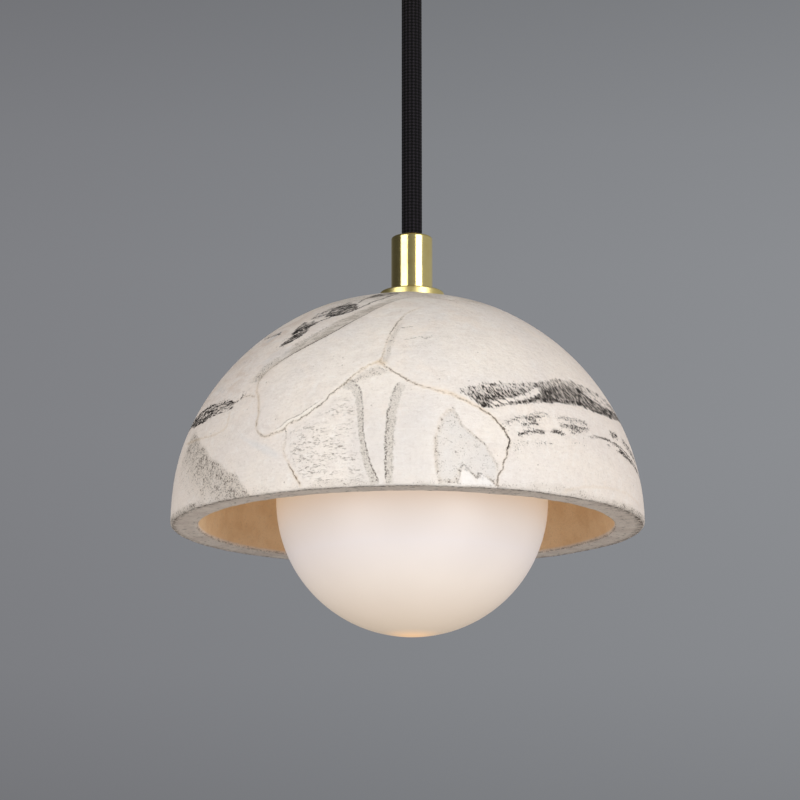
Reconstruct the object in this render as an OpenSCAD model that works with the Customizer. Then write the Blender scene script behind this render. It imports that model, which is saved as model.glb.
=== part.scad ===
// Dome pendant light, hung from a ceiling rose on a braided cord, with an opal globe inside.
// Millimetres, +Z up. The origin is the middle of the ceiling face of the mounting bracket,
// so everything hangs below Z 0. The photographed side faces -Y.

/* [Ceiling rose] */
// Outer diameter of the rose cup
rose_d = 100; // [80:1:140]
// Height of the rose cup
rose_h = 28; // [26:1:45]
// Wall of the rose cup
rose_wall = 1.2; // [0.8:0.1:2.5]
// Radius of the cup's lower outer edge
rose_edge_r = 4; // [2:0.5:8]
// Width of the mounting bracket's strip
bracket_w = 20; // [14:1:28]
// Thickness of the mounting bracket's strip
bracket_t = 2; // [1.2:0.1:3]
// How far the bracket's ears reach below the ceiling
ear_h = 15; // [13:0.5:18]
// Distance between the centres of the two fixing slots
slot_spacing = 56; // [46:1:60]
// Length of each fixing slot, end to end
slot_l = 14; // [8:0.5:16]
// Width of each fixing slot
slot_w = 4.5; // [3.5:0.1:6]
// Diameter of the hole for the supply cable
supply_hole_d = 12; // [8:0.5:14]
// How far below the ceiling the two side screws sit
side_screw_drop = 9; // [7.5:0.5:10]

/* [Cord] */
// Diameter of the braided cord
cord_d = 7.8; // [6:0.1:8.2]
// Free length of cord between the two brass grips
cord_len = 110; // [60:1:1500]
// How far below the rose's grip the cord bends when the light swings
bend_drop = 5; // [4.5:0.5:10]
// Diameter of one insulated core inside the cord
core_d = 2.1; // [1.8:0.1:2.4]

/* [Brass fittings] */
// Diameter of each cord grip
grip_d = 15.5; // [14:0.1:20]
// Height of each cord grip
grip_h = 21.5; // [18:0.5:32]
// Depth of the thread in each cord grip
grip_thread_depth = 9; // [7:0.5:10]
// Radius of the grip's outer edge where the cord comes out
grip_edge_r = 0.8; // [0.3:0.1:1.5]
// Diameter of the grub screw that holds the cord
grub_d = 4; // [3:0.5:4]
// Diameter of the seating ring on top of the shade
ring_d = 24; // [20:0.2:32]
// Height of the seating ring
ring_h = 3; // [2:0.1:5]
// Radius of the seating ring's upper edge
ring_edge_r = 0.6; // [0.2:0.1:1]

/* [Shade] */
// Outer diameter of the ceramic dome
shade_d = 175; // [150:1:260]
// Wall of the ceramic dome
shade_wall = 11.5; // [8:0.5:14]
// How far the hand-made bowl sits off the axis of its hole, along X
bowl_offset = -2; // [-3:0.5:3]
// Chamfer on the outer edge of the rim
rim_chamfer = 0.8; // [0.4:0.1:2]

/* [Clamp stack] */
// Outer diameter of the threaded hollow rod
rod_d = 10; // [10:0.5:12]
// Bore of the threaded hollow rod
rod_bore = 7.4; // [7:0.1:7.6]
// Thickness of each rubber gasket
gasket_t = 1.5; // [1:0.1:2]
// Diameter of the steel washer inside the shade
washer_d = 25; // [20:0.5:30]
// Thickness of the steel washer inside the shade
washer_t = 2; // [1:0.1:2.5]
// Width across the flats of the lock nuts
nut_af = 14; // [14:0.5:17]
// Thickness of the lock nuts
nut_t = 3; // [2.5:0.1:4]

/* [Globe] */
// Diameter of the opal globe
globe_d = 100; // [96:1:120]
// Thickness of the opal glass
glass_t = 2.5; // [1.8:0.1:3.5]
// Diameter of the globe's threaded neck
neck_d = 40; // [38:0.5:44]
// Length of the globe's neck above the ball
neck_h = 12.8; // [11.5:0.1:14.5]
// Depth of the gallery that the neck screws into
gallery_h = 12; // [10:0.5:12.5]
// Wall of the gallery
gallery_wall = 2.5; // [2:0.1:3]
// Thickness of the gallery's top plate
gallery_t = 1.2; // [1:0.1:2]
// Section of the globe's sealing ring
seal_d = 3; // [2:0.1:3.2]

/* [Lampholder and lamp] */
// Width of the lampholder block along X
holder_w = 23.6; // [22:0.2:24.4]
// Depth of the lampholder block along Y
holder_depth = 16; // [12:0.5:18]
// Height of the lampholder block
holder_h = 22; // [18:0.5:26]
// Room for the cores between the rod and the lampholder
wiring_room = 12; // [11.5:0.5:16]
// Thickness of the lampholder bracket
hanger_t = 1; // [0.8:0.1:1.5]
// Width of the lampholder bracket
hanger_w = 12; // [10:0.5:14]
// Distance between the lamp's two pins
pin_spacing = 9; // [9:0.5:10]
// Length of the lamp's pins
pin_l = 10; // [8:0.5:12]
// Diameter of the lamp's envelope
lamp_d = 16; // [13:0.5:20]
// Length of the lamp's envelope, below its base
lamp_l = 39; // [28:1:44]
// Height of the lamp's base
lamp_base_h = 8; // [6:0.5:12]

/* [Hidden] */
$fn = 96;
wire_sides = 8;

// Clearances
thread_clear = 0.1;    // between a male and a female thread, modelled as plain cylinders
cord_clear = 0.25;     // round the cord in its grips
turn_clear = 0.3;      // between pieces that turn or slide on each other
wall_clear = 0.4;      // between the bracket's ears and the rose cup
rod_hole_clear = 0.3;  // round the rod in the ceramic
seat_clear = 0.2;      // round a piece that is dropped into its seat
snug = 0.05;           // round a wire, a pin or a screw's tip in its hole
eps = 0.01;            // overrun of a cut past the face that it opens

// Radii
rose_r = rose_d / 2;
cord_r = cord_d / 2;
core_r = core_d / 2;
grip_r = grip_d / 2;
ring_r = ring_d / 2;
rod_r = rod_d / 2;
shade_r = shade_d / 2;
bowl_r = shade_r - shade_wall;
globe_r = globe_d / 2;
neck_r = neck_d / 2;
gallery_r = neck_r + turn_clear + gallery_wall;

// Ceiling rose, and the point under its cord grip where the cord swings
rose_floor = -rose_h + rose_wall;
rose_mouth = -rose_h - grip_h;
swing_z = rose_mouth - bend_drop;
bend_gap = 0.65 * cord_r;
rose_washer_t = 1;
rose_washer_r = 9;
ear_x = sqrt(pow(rose_r - rose_wall - wall_clear, 2) - pow(bracket_w / 2, 2));
side_screw_r = 1.95;
side_screw_head_r = 4;
side_screw_head_t = 4;
side_screw_bite = 1;         // how far the shank reaches past the bracket's ear
side_screw_stand = 0.15;     // between the cup and the screw's head
notch_clear = 0.35;          // round the shank, in the cup's notch
notch_cut = 10;              // length of the notch's cutter, across the wall
driver_slot_w = 0.8;         // screwdriver slot in the side screws
driver_slot_depth = 0.9;

// Grub screw of a grip: its height above the grip's threaded end, and its slot
grub_z = (grip_thread_depth + grip_h) / 2;
grub_sink = 0.4;
grub_slot_w = 0.6;
grub_slot_depth = 0.8;

// Rods end this far short of a grip's thread, and stand this far out of a nut
rod_gap = 0.5;
rod_out = 1.5;

// Terminal block, lying on the floor of the rose behind the nut
pole_pitch = 8;
block_size = [3 * pole_pitch + 2, 16, 10];
block_y = rose_washer_r + 5;
pole_z = rose_floor + block_size.z / 2;
pole_tube_r = 2.2;
pole_tube_inset = 1;         // from the block's face to the tube's end
pole_bore_r = 1.5;
terminal_screw_r = 1.4;
terminal_screw_l = 3.2;
terminal_screw_share = 0.27; // how far along the block its inner screws stand
terminal_screw_room = 0.3;   // round a screw, in the block
terminal_slot = [4, 0.6, 0.6];

// Pendant, from the cord's lower end to the rim of the shade
grip_top = rose_mouth - cord_len;
ring_top = grip_top - grip_h;
seat_z = ring_top - ring_h;
seat_margin = 0.5;           // flat clay round the seating ring
seat_r = ring_r + abs(bowl_offset) + seat_margin;
rim_z = seat_z - sqrt(pow(shade_r, 2) - pow(seat_r, 2));
inner_seat_r = washer_d / 2 + abs(bowl_offset) + turn_clear;
inner_seat_z = rim_z + sqrt(pow(bowl_r, 2) - pow(inner_seat_r, 2));
cord_end = ring_top + grip_thread_depth + seat_clear;
ring_recess = gasket_t / 2;  // the ring hides a gasket of half the thickness
ring_lip = 2;                // brass left round the hidden gasket
ring_recess_r = ring_r - ring_lip;

// Gallery and lampholder, below the ceramic
gallery_top = inner_seat_z - gasket_t - washer_t;
gallery_under = gallery_top - gallery_t;
hanger_under = gallery_under - hanger_t;
tag_t = 0.8;
nut_under = hanger_under - tag_t - nut_t;
rod_end = nut_under - rod_out;
holder_top = rod_end - wiring_room;
holder_bottom = holder_top - holder_h;
hanger_half = holder_w / 2 + seat_clear;
hanger_lap = 12;             // how far the bracket's legs reach down the holder
hanger_foot = holder_top - hanger_lap;
holder_screw_z = holder_top - 8;
holder_screw_r = 1.5;
holder_screw_l = 3.5;        // its grip in the ceramic
holder_screw_head_r = 2.7;
holder_screw_head_t = 1.6;
holder_slot_w = 0.7;
holder_slot_depth = 0.7;
tag_y = 11.5;
tag_land = 0.5;              // ring of tag past the nut's flats
tag_tongue_w = 4;
tag_barrel_r = core_r + 0.5;
tag_barrel_l = 6;

contact_lift = 1.5;
contact_z = holder_bottom + contact_lift;
contact_top = contact_z + pin_l;

// Globe
neck_gap = 1;                // between the screwed-in neck and the gallery's plate
neck_top = gallery_under - neck_gap;
ball_rise = sqrt(pow(globe_r, 2) - pow(neck_r, 2));
globe_z = neck_top - neck_h - ball_rise;
seal_gap = 0.25;             // under the gallery's edge
seal_r = neck_r + seat_clear + seal_d / 2;
seal_z = gallery_top - gallery_h - seal_gap - seal_d / 2;

// Lamp
pin_wire_r = 0.45;
pin_loop_r = 1.2;
pin_root = 4;
spigot_h = 2;
clip_w = 3.4;
clip_t = 0.4;
clip_gap = 1.3;
clip_room = 0.6;             // play of a clip in its socket, both sides together
socket_size = [clip_w + clip_room, clip_gap + 2 * clip_t + clip_room];
lamp_top = holder_bottom - turn_clear;
envelope_top = lamp_top - lamp_base_h;
lamp_r = lamp_d / 2;
lamp_wall = 1;
led_gap = 2.5;               // between the LED column and the envelope's wall
led_short = 4;               // how far it ends above the envelope's round tip

// A smooth route through the points given, with steps rings between each two
function spline_at(a, b, c, d, t) =
    0.5 * ((2 * b) + (c - a) * t + (2 * a - 5 * b + 4 * c - d) * t * t
        + (3 * b - a - 3 * c + d) * t * t * t);
function route(p, steps = 4) = concat(
    [for (i = [0 : len(p) - 2], k = [0 : steps - 1])
        spline_at(p[max(i - 1, 0)], p[i], p[i + 1], p[min(i + 2, len(p) - 1)], k / steps)],
    [p[len(p) - 1]]);
function unit(v) = v / norm(v);
function heading(p, i) = unit(p[min(i + 1, len(p) - 1)] - p[max(i - 1, 0)]);

// A round tube along a route, whose headings are never parallel to side
module sweep(p, r, side) {
    n = wire_sides;
    rings = [for (i = [0 : len(p) - 1])
        let (t = heading(p, i), u = unit(cross(side, t)), v = cross(t, u))
        [for (k = [0 : n - 1]) p[i] + r * (cos(360 * k / n) * u + sin(360 * k / n) * v)]];
    points = [for (ring = rings) each ring];
    last = (len(p) - 1) * n;
    walls = [for (i = [0 : len(p) - 2], k = [0 : n - 1])
        let (a = i * n + k, b = i * n + (k + 1) % n)
        each [[a, a + n, b + n], [a, b + n, b]]];
    caps = [[for (k = [0 : n - 1]) k], [for (k = [n - 1 : -1 : 0]) last + k]];
    polyhedron(points, concat(walls, caps));
}

module ring_of(outer_r, inner_r, h) {
    difference() {
        cylinder(r = outer_r, h = h);
        translate([0, 0, -eps]) cylinder(r = inner_r, h = h + 2 * eps);
    }
}

module hex_nut(h) {
    corner_r = nut_af / sqrt(3) + eps;
    face_r = nut_af / 2 + seat_clear;
    turned = 0.6;
    difference() {
        intersection() {
            cylinder(r = nut_af / sqrt(3), h = h, $fn = 6);
            // the turned corners of a lock nut
            rotate_extrude() polygon([
                [0, 0], [face_r, 0], [corner_r, turned],
                [corner_r, h - turned], [face_r, h], [0, h]]);
        }
        translate([0, 0, -eps]) cylinder(r = rod_r + thread_clear, h = h + 2 * eps);
    }
}

// The profile of a turned piece, r wide and h high, with its upper edge rounded
module turned_profile(r, h, edge) {
    square([r - edge, h]);
    square([r, h - edge]);
    translate([r - edge, h - edge]) intersection() {
        circle(r = edge);
        square(edge);
    }
}

// A brass cord grip, standing on its threaded end, with the cord coming out of its top
module grip() {
    difference() {
        rotate_extrude() turned_profile(grip_r, grip_h, grip_edge_r);
        translate([0, 0, -eps]) cylinder(r = rod_r + thread_clear, h = grip_thread_depth + eps);
        cylinder(r = cord_r + cord_clear, h = grip_h + eps);
        translate([0, 0, grub_z]) rotate([-90, 0, 0])
            cylinder(r = grub_d / 2 + thread_clear, h = grip_r + eps);
    }
}

// Its grub screw, in the side away from the viewer, with its slot outward
module grub_screw() {
    tip = cord_r + snug;
    length = grip_r - grub_sink - tip;
    translate([0, tip, grub_z]) rotate([-90, 0, 0]) difference() {
        cylinder(r = grub_d / 2, h = length);
        translate([-grub_d, -grub_slot_w / 2, length - grub_slot_depth])
            cube([2 * grub_d, grub_slot_w, 1]);
    }
}

// Ceiling rose
module mounting_bracket() color("silver") {
    difference() {
        union() {
            translate([-ear_x, -bracket_w / 2, -bracket_t]) cube([2 * ear_x, bracket_w, bracket_t]);
            for (side = [-1, 1])
                translate([side > 0 ? ear_x - bracket_t : -ear_x, -bracket_w / 2, -ear_h])
                    cube([bracket_t, bracket_w, ear_h]);
        }
        for (side = [-1, 1]) {
            translate([side * slot_spacing / 2, 0, -bracket_t - eps]) slot_cut();
            translate([side * (ear_x - bracket_t - eps), 0, -side_screw_drop])
                rotate([0, side * 90, 0])
                cylinder(r = side_screw_r + thread_clear, h = bracket_t + 2 * eps);
        }
        translate([0, 0, -bracket_t - eps]) cylinder(d = supply_hole_d, h = bracket_t + 2 * eps);
    }
}

module slot_cut() {
    straight = slot_l - slot_w;
    depth = bracket_t + 2 * eps;
    translate([-straight / 2, -slot_w / 2, 0]) cube([straight, slot_w, depth]);
    for (end = [-1, 1]) translate([end * straight / 2, 0, 0]) cylinder(d = slot_w, h = depth);
}

module rose_side_screws() color("goldenrod") {
    tip = ear_x - bracket_t - side_screw_bite;
    shank = rose_r + side_screw_stand - tip;
    for (side = [0, 180]) rotate([0, 0, side])
        translate([tip, 0, -side_screw_drop]) rotate([0, 90, 0]) {
            cylinder(r = side_screw_r, h = shank + eps);
            translate([0, 0, shank]) difference() {
                cylinder(r = side_screw_head_r, h = side_screw_head_t);
                translate([-driver_slot_w / 2, -side_screw_head_r - 1,
                           side_screw_head_t - driver_slot_depth])
                    cube([driver_slot_w, 2 * side_screw_head_r + 2, 1]);
            }
        }
}

module rose_cup() color("goldenrod") {
    notch_r = side_screw_r + notch_clear;
    difference() {
        rotate_extrude() mirror([0, 1]) difference() {
            turned_profile(rose_r, rose_h, rose_edge_r);
            translate([0, -eps])
                turned_profile(rose_r - rose_wall, rose_h - rose_wall + eps, rose_edge_r - rose_wall / 2);
        }
        translate([0, 0, -rose_h - eps]) cylinder(r = rod_r + thread_clear, h = rose_wall + 2 * eps);
        // notches that let the cup slide down off the side screws
        for (side = [-1, 1]) {
            translate([side * (rose_r - rose_wall) - notch_cut / 2, -notch_r, -side_screw_drop])
                cube([notch_cut, 2 * notch_r, side_screw_drop + eps]);
            translate([side * (rose_r - rose_wall) - notch_cut / 2, 0, -side_screw_drop])
                rotate([0, 90, 0]) cylinder(r = notch_r, h = notch_cut);
        }
    }
}

module rose_cord_grip() color("goldenrod") translate([0, 0, -rose_h]) rotate([0, 180, 0]) grip();
module rose_grip_screw() color("gray") translate([0, 0, -rose_h]) rotate([0, 180, 0]) grub_screw();

module rose_rod() color("goldenrod") {
    low = -rose_h - grip_thread_depth + rod_gap;
    high = rose_floor + rose_washer_t + nut_t + rod_out;
    translate([0, 0, low]) ring_of(rod_r, rod_bore / 2, high - low);
}

module rose_washer() color("silver")
    translate([0, 0, rose_floor]) ring_of(rose_washer_r, rod_r + thread_clear, rose_washer_t);

module rose_nut() color("silver") translate([0, 0, rose_floor + rose_washer_t]) hex_nut(nut_t);

// The cord's stretch in the rose's grip, and below it as far as the bend
module cord_in_rose() color("black") {
    low = swing_z + bend_gap;
    high = -rose_h - grip_thread_depth - seat_clear;
    difference() {
        translate([0, 0, low]) cylinder(r = cord_r, h = high - low);
        bend_room();
    }
}

module bend_room() translate([0, 0, swing_z]) sphere(r = cord_r + turn_clear);

function pole_x(i) = (i - 1) * pole_pitch;

module terminal_block() color("ivory") {
    difference() {
        translate([-block_size.x / 2, block_y, rose_floor]) cube(block_size);
        for (i = [0 : 2]) {
            translate([pole_x(i), block_y - eps, pole_z]) rotate([-90, 0, 0])
                cylinder(r = pole_tube_r + thread_clear, h = block_size.y + 2 * eps);
            for (j = [0, 1])
                translate([pole_x(i), terminal_screw_y(j), pole_z])
                    cylinder(r = terminal_screw_r + terminal_screw_room, h = block_size.z);
        }
    }
}

function terminal_screw_y(j) =
    block_y + block_size.y * (j == 0 ? terminal_screw_share : 1 - terminal_screw_share);

module terminal_tubes() color("goldenrod") {
    length = block_size.y - 2 * pole_tube_inset;
    for (i = [0 : 2]) translate([pole_x(i), block_y + pole_tube_inset, pole_z]) difference() {
        rotate([-90, 0, 0]) difference() {
            cylinder(r = pole_tube_r, h = length);
            translate([0, 0, -eps]) cylinder(r = pole_bore_r, h = length + 2 * eps);
        }
        for (j = [0, 1]) translate([0, terminal_screw_y(j) - block_y - pole_tube_inset, 0])
            cylinder(r = terminal_screw_r + snug, h = pole_tube_r + 1);
    }
}

module terminal_screws() color("silver") {
    tip = pole_z + core_r + 3 * snug;
    for (i = [0 : 2], j = [0, 1]) translate([pole_x(i), terminal_screw_y(j), tip]) difference() {
        cylinder(r = terminal_screw_r, h = terminal_screw_l);
        translate([-terminal_slot.x / 2, -terminal_slot.y / 2, terminal_screw_l - terminal_slot.z])
            cube([terminal_slot.x, terminal_slot.y, 1]);
    }
}

// Where core i lies in the cord and in the rods: live, earth, neutral
core_lie = [[-1.25, 0.7], [0, -1.4], [1.25, 0.7]];

module rose_core(i) {
    start = -rose_h - grip_thread_depth - seat_clear;
    leave = rose_floor + rose_washer_t + nut_t + rod_out + 1;
    lie = core_lie[i];
    x = pole_x(i);
    sweep(route([
        [lie.x, lie.y, start], [lie.x, lie.y, -rose_h], [lie.x, lie.y, leave],
        [lie.x + 0.3 * (x - lie.x), lie.y + 3, leave + 4],
        [lie.x + 0.8 * (x - lie.x), block_y - 7, leave + 2.5],
        [x, block_y - 2.5, pole_z + 0.3], [x, block_y + 1, pole_z], [x, block_y + 6, pole_z]
    ]), core_r, [1, 0, 0]);
}

module rose_live_core() color("saddlebrown") rose_core(0);
module rose_earth_core() color("yellowgreen") rose_core(1);
module rose_neutral_core() color("royalblue") rose_core(2);

// Cord: a ball of it bends under the rose, and the rest hangs straight
module cord_bend() color("black") translate([0, 0, swing_z]) sphere(r = cord_r);

module cord() color("black") difference() {
    translate([0, 0, cord_end]) cylinder(r = cord_r, h = swing_z - bend_gap - cord_end);
    bend_room();
}

// Fittings on the shade
module cord_grip() color("goldenrod") translate([0, 0, ring_top]) grip();
module grip_screw() color("gray") translate([0, 0, ring_top]) grub_screw();

module seating_ring() color("goldenrod") difference() {
    translate([0, 0, seat_z]) rotate_extrude() turned_profile(ring_r, ring_h, ring_edge_r);
    translate([0, 0, seat_z - eps]) {
        cylinder(r = rod_r + turn_clear, h = ring_h + 2 * eps);
        cylinder(r = ring_recess_r, h = ring_recess + eps);
    }
}

module top_gasket() color("dimgray")
    translate([0, 0, seat_z]) ring_of(ring_recess_r - seat_clear, rod_r + turn_clear, ring_recess);

module shade() color("antiquewhite") {
    seat = seat_z - rim_z;
    inner_seat = inner_seat_z - rim_z;
    difference() {
        translate([bowl_offset, 0, rim_z]) rotate_extrude() difference() {
            intersection() {
                circle(r = shade_r);
                square([shade_r, seat]);
            }
            intersection() {
                circle(r = bowl_r);
                translate([-eps, -eps]) square([bowl_r, inner_seat + eps]);
            }
            // the chamfered outer edge of the rim
            polygon([[shade_r - rim_chamfer, -eps], [shade_r + eps, -eps], [shade_r + eps, rim_chamfer]]);
        }
        translate([0, 0, inner_seat_z - 1])
            cylinder(r = rod_r + rod_hole_clear, h = seat_z - inner_seat_z + 2);
    }
}

module bottom_gasket() color("dimgray")
    translate([0, 0, inner_seat_z - gasket_t])
        ring_of(washer_d / 2 - seat_clear, rod_r + turn_clear, gasket_t);

module steel_washer() color("silver")
    translate([0, 0, gallery_top]) ring_of(washer_d / 2, rod_r + turn_clear, washer_t);

module hollow_rod() color("goldenrod") {
    high = ring_top + grip_thread_depth - rod_gap;
    translate([0, 0, rod_end]) ring_of(rod_r, rod_bore / 2, high - rod_end);
}

module gallery() color("goldenrod") {
    difference() {
        translate([0, 0, gallery_top - gallery_h]) cylinder(r = gallery_r, h = gallery_h);
        translate([0, 0, gallery_top - gallery_h - eps])
            cylinder(r = neck_r + turn_clear, h = gallery_h - gallery_t + eps);
        translate([0, 0, gallery_under - eps])
            cylinder(r = rod_r + thread_clear, h = gallery_t + 2 * eps);
    }
}

module lampholder_bracket() color("silver") difference() {
    union() {
        translate([-hanger_half - hanger_t, -hanger_w / 2, hanger_under])
            cube([2 * (hanger_half + hanger_t), hanger_w, hanger_t]);
        for (side = [0, 180]) rotate([0, 0, side])
            translate([hanger_half, -hanger_w / 2, hanger_foot])
                cube([hanger_t, hanger_w, gallery_under - hanger_foot]);
    }
    translate([0, 0, hanger_under - eps]) cylinder(r = rod_r + thread_clear, h = hanger_t + 2 * eps);
    for (side = [0, 180]) rotate([0, 0, side])
        translate([hanger_half - eps, 0, holder_screw_z]) rotate([0, 90, 0])
            cylinder(r = holder_screw_r + thread_clear, h = hanger_t + 2 * eps);
}

// The ring tag that ties the earth core to the metal parts, with its barrel hanging behind the nut
module earth_tag() color("silver") {
    translate([0, 0, hanger_under - tag_t]) difference() {
        union() {
            cylinder(r = nut_af / 2 + tag_land, h = tag_t);
            translate([-tag_tongue_w / 2, -tag_y - tag_barrel_r, 0]) cube([tag_tongue_w, tag_y, tag_t]);
        }
        translate([0, 0, -eps]) cylinder(r = rod_r + thread_clear, h = tag_t + 2 * eps);
    }
    translate([0, -tag_y, hanger_under - tag_t - tag_barrel_l]) difference() {
        cylinder(r = tag_barrel_r, h = tag_barrel_l + eps);
        translate([0, 0, -eps]) cylinder(r = core_r + snug, h = tag_barrel_l - 1);
    }
}

module gallery_nut() color("silver") translate([0, 0, nut_under]) hex_nut(nut_t);

// Lampholder: a ceramic block with a socket for each pin and a hole above it for each core
module lampholder() color("white") difference() {
    translate([-holder_w / 2, -holder_depth / 2, holder_bottom])
        cube([holder_w, holder_depth, holder_h]);
    for (side = [-1, 1]) {
        translate([side * pin_spacing / 2 - socket_size.x / 2, -socket_size.y / 2,
                   holder_bottom - eps])
            cube([socket_size.x, socket_size.y, contact_top - holder_bottom + eps]);
        translate([side * pin_spacing / 2, 0, holder_bottom])
            cylinder(r = core_r + seat_clear, h = holder_h + eps);
        translate([side * (holder_w / 2 - holder_screw_l - 0.5), 0, holder_screw_z])
            rotate([0, side * 90, 0])
            cylinder(r = holder_screw_r + thread_clear, h = holder_screw_l + 0.5 + eps);
    }
}

// A spring clip for each pin: two brass leaves, joined over the pin's tip
module lampholder_contacts() color("goldenrod")
    for (side = [-1, 1]) translate([side * pin_spacing / 2 - clip_w / 2, 0, contact_z]) {
        for (face = [-1, 1])
            translate([0, face * (clip_gap + clip_t) / 2 - clip_t / 2, 0])
                cube([clip_w, clip_t, pin_l]);
        translate([0, -clip_gap / 2 - clip_t, pin_l - clip_t])
            cube([clip_w, clip_gap + 2 * clip_t, clip_t]);
    }

module lampholder_screws() color("silver") for (side = [0, 180]) rotate([0, 0, side])
    translate([holder_w / 2 - holder_screw_l, 0, holder_screw_z]) rotate([0, 90, 0]) {
        reach = hanger_half + hanger_t - holder_w / 2 + holder_screw_l;
        cylinder(r = holder_screw_r, h = reach + eps);
        translate([0, 0, reach]) difference() {
            cylinder(r = holder_screw_head_r, h = holder_screw_head_t);
            translate([-holder_slot_w / 2, -holder_screw_head_r - 1,
                       holder_screw_head_t - holder_slot_depth])
                cube([holder_slot_w, 2 * holder_screw_head_r + 2, 1]);
        }
    }

// Cores inside the pendant, from the cord's end to the lampholder and the earth tag
module live_or_neutral(side) {
    lie = core_lie[side < 0 ? 0 : 2];
    x = side * pin_spacing / 2;
    sweep(route([
        [lie.x, lie.y, cord_end - seat_clear], [lie.x, lie.y, seat_z], [lie.x, lie.y, rod_end - rod_gap],
        [lie.x + side * 0.8, lie.y + 1.2, rod_end - 4.5],
        [x, lie.y, holder_top + 3.5], [x, 0, holder_top], [x, 0, contact_top + 0.2]
    ]), core_r, [0, 1, 0]);
}

module live_core() color("saddlebrown") live_or_neutral(-1);
module neutral_core() color("royalblue") live_or_neutral(1);

module earth_core() color("yellowgreen") {
    lie = core_lie[1];
    barrel_mouth = hanger_under - tag_t - tag_barrel_l;
    sweep(route([
        [lie.x, lie.y, cord_end - seat_clear], [lie.x, lie.y, seat_z], [lie.x, lie.y, rod_end - rod_gap],
        [0, lie.y - 1.6, rod_end - 4], [0, -0.5 * tag_y - 1.2, rod_end - 6.4],
        [0, -tag_y + 0.6, rod_end - 4.6], [0, -tag_y, barrel_mouth - 0.5], [0, -tag_y, barrel_mouth + 4]
    ]), core_r, [1, 0, 0]);
}

// Globe and its sealing ring, which unscrew from the gallery together
module globe_seal() color("whitesmoke")
    translate([0, 0, seal_z]) rotate_extrude() translate([seal_r, 0]) circle(d = seal_d, $fn = 32);

module globe() color("white") translate([0, 0, globe_z]) difference() {
    union() {
        sphere(r = globe_r);
        cylinder(r = neck_r, h = ball_rise + neck_h);
    }
    sphere(r = globe_r - glass_t);
    cylinder(r = neck_r - glass_t, h = ball_rise + neck_h + eps);
}

// Lamp, which pulls down out of the lampholder. Its base plugs into its envelope.
module lamp_base() color("white") difference() {
    union() {
        translate([0, 0, envelope_top]) cylinder(r = lamp_r, h = lamp_base_h);
        translate([0, 0, envelope_top - spigot_h])
            cylinder(r = lamp_r - lamp_wall - thread_clear, h = spigot_h + eps);
    }
    for (side = [-1, 1], leg = [-1, 1])
        translate([side * pin_spacing / 2 + leg * pin_loop_r, 0, lamp_top - pin_root])
            cylinder(r = pin_wire_r + snug, h = pin_root + eps);
}

// Each pin is a loop of stiff wire
module lamp_pins() color("silver")
    for (side = [-1, 1]) translate([side * pin_spacing / 2, 0, lamp_top - pin_root]) {
        straight = pin_root + pin_l - pin_loop_r - turn_clear;
        for (leg = [-1, 1]) translate([leg * pin_loop_r, 0, 0]) cylinder(r = pin_wire_r, h = straight);
        translate([0, 0, straight]) rotate([90, 0, 0])
            rotate_extrude(angle = 180) translate([pin_loop_r, 0]) circle(r = pin_wire_r, $fn = 24);
    }

module lamp_envelope() color("white") difference() {
    lamp_shape(lamp_r, 0);
    lamp_shape(lamp_r - lamp_wall, eps);
}

module lamp_shape(r, over) translate([0, 0, envelope_top - lamp_l + lamp_r]) {
    cylinder(r = r, h = lamp_l - lamp_r + over);
    sphere(r = r);
}

module led_column() color("gold") {
    width = lamp_r - lamp_wall - led_gap;
    drop = lamp_l - lamp_r - led_short;
    translate([-width / 2, -width / 2, envelope_top - spigot_h - drop]) cube([width, width, drop]);
}

mounting_bracket();
rose_side_screws();
rose_cup();
rose_cord_grip();
rose_grip_screw();
rose_rod();
rose_washer();
rose_nut();
cord_in_rose();
terminal_block();
terminal_tubes();
terminal_screws();
rose_live_core();
rose_neutral_core();
rose_earth_core();
cord_bend();
cord();
cord_grip();
grip_screw();
seating_ring();
top_gasket();
shade();
bottom_gasket();
steel_washer();
hollow_rod();
gallery();
lampholder_bracket();
earth_tag();
gallery_nut();
lampholder();
lampholder_contacts();
lampholder_screws();
live_core();
neutral_core();
earth_core();
globe_seal();
globe();
lamp_base();
lamp_pins();
lamp_envelope();
led_column();
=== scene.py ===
# Dome pendant light, in metres, in the CAD model's frame: +Z up, the photographed side towards -Y.
# Each section is one piece or a group of like pieces, in the order in which the light is put together.

# Camera, lamps and floor
# A long lens a metre from the globe, a little under it and looking slightly up, as the photograph has it.
# Two tall softboxes stand at either side of the camera, in a plain grey studio with a pale floor.
import math

import bpy
import numpy as np
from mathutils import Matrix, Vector


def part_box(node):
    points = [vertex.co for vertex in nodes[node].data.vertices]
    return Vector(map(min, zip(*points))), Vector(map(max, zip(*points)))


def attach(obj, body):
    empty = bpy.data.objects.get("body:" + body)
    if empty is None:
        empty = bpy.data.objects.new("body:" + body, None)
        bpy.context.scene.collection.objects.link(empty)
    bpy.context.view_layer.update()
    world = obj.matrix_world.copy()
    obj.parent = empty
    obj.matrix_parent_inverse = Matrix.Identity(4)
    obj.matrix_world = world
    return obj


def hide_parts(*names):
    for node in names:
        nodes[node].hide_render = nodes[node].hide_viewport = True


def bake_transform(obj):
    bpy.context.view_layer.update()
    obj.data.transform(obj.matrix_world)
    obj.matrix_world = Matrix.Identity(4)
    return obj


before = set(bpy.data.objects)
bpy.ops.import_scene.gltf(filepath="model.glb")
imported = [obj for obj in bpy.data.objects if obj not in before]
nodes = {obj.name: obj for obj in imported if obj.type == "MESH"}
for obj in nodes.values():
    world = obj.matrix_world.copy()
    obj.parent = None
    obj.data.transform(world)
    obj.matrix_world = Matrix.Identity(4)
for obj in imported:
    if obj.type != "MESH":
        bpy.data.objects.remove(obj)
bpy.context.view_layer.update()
MM = 0.001

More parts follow.
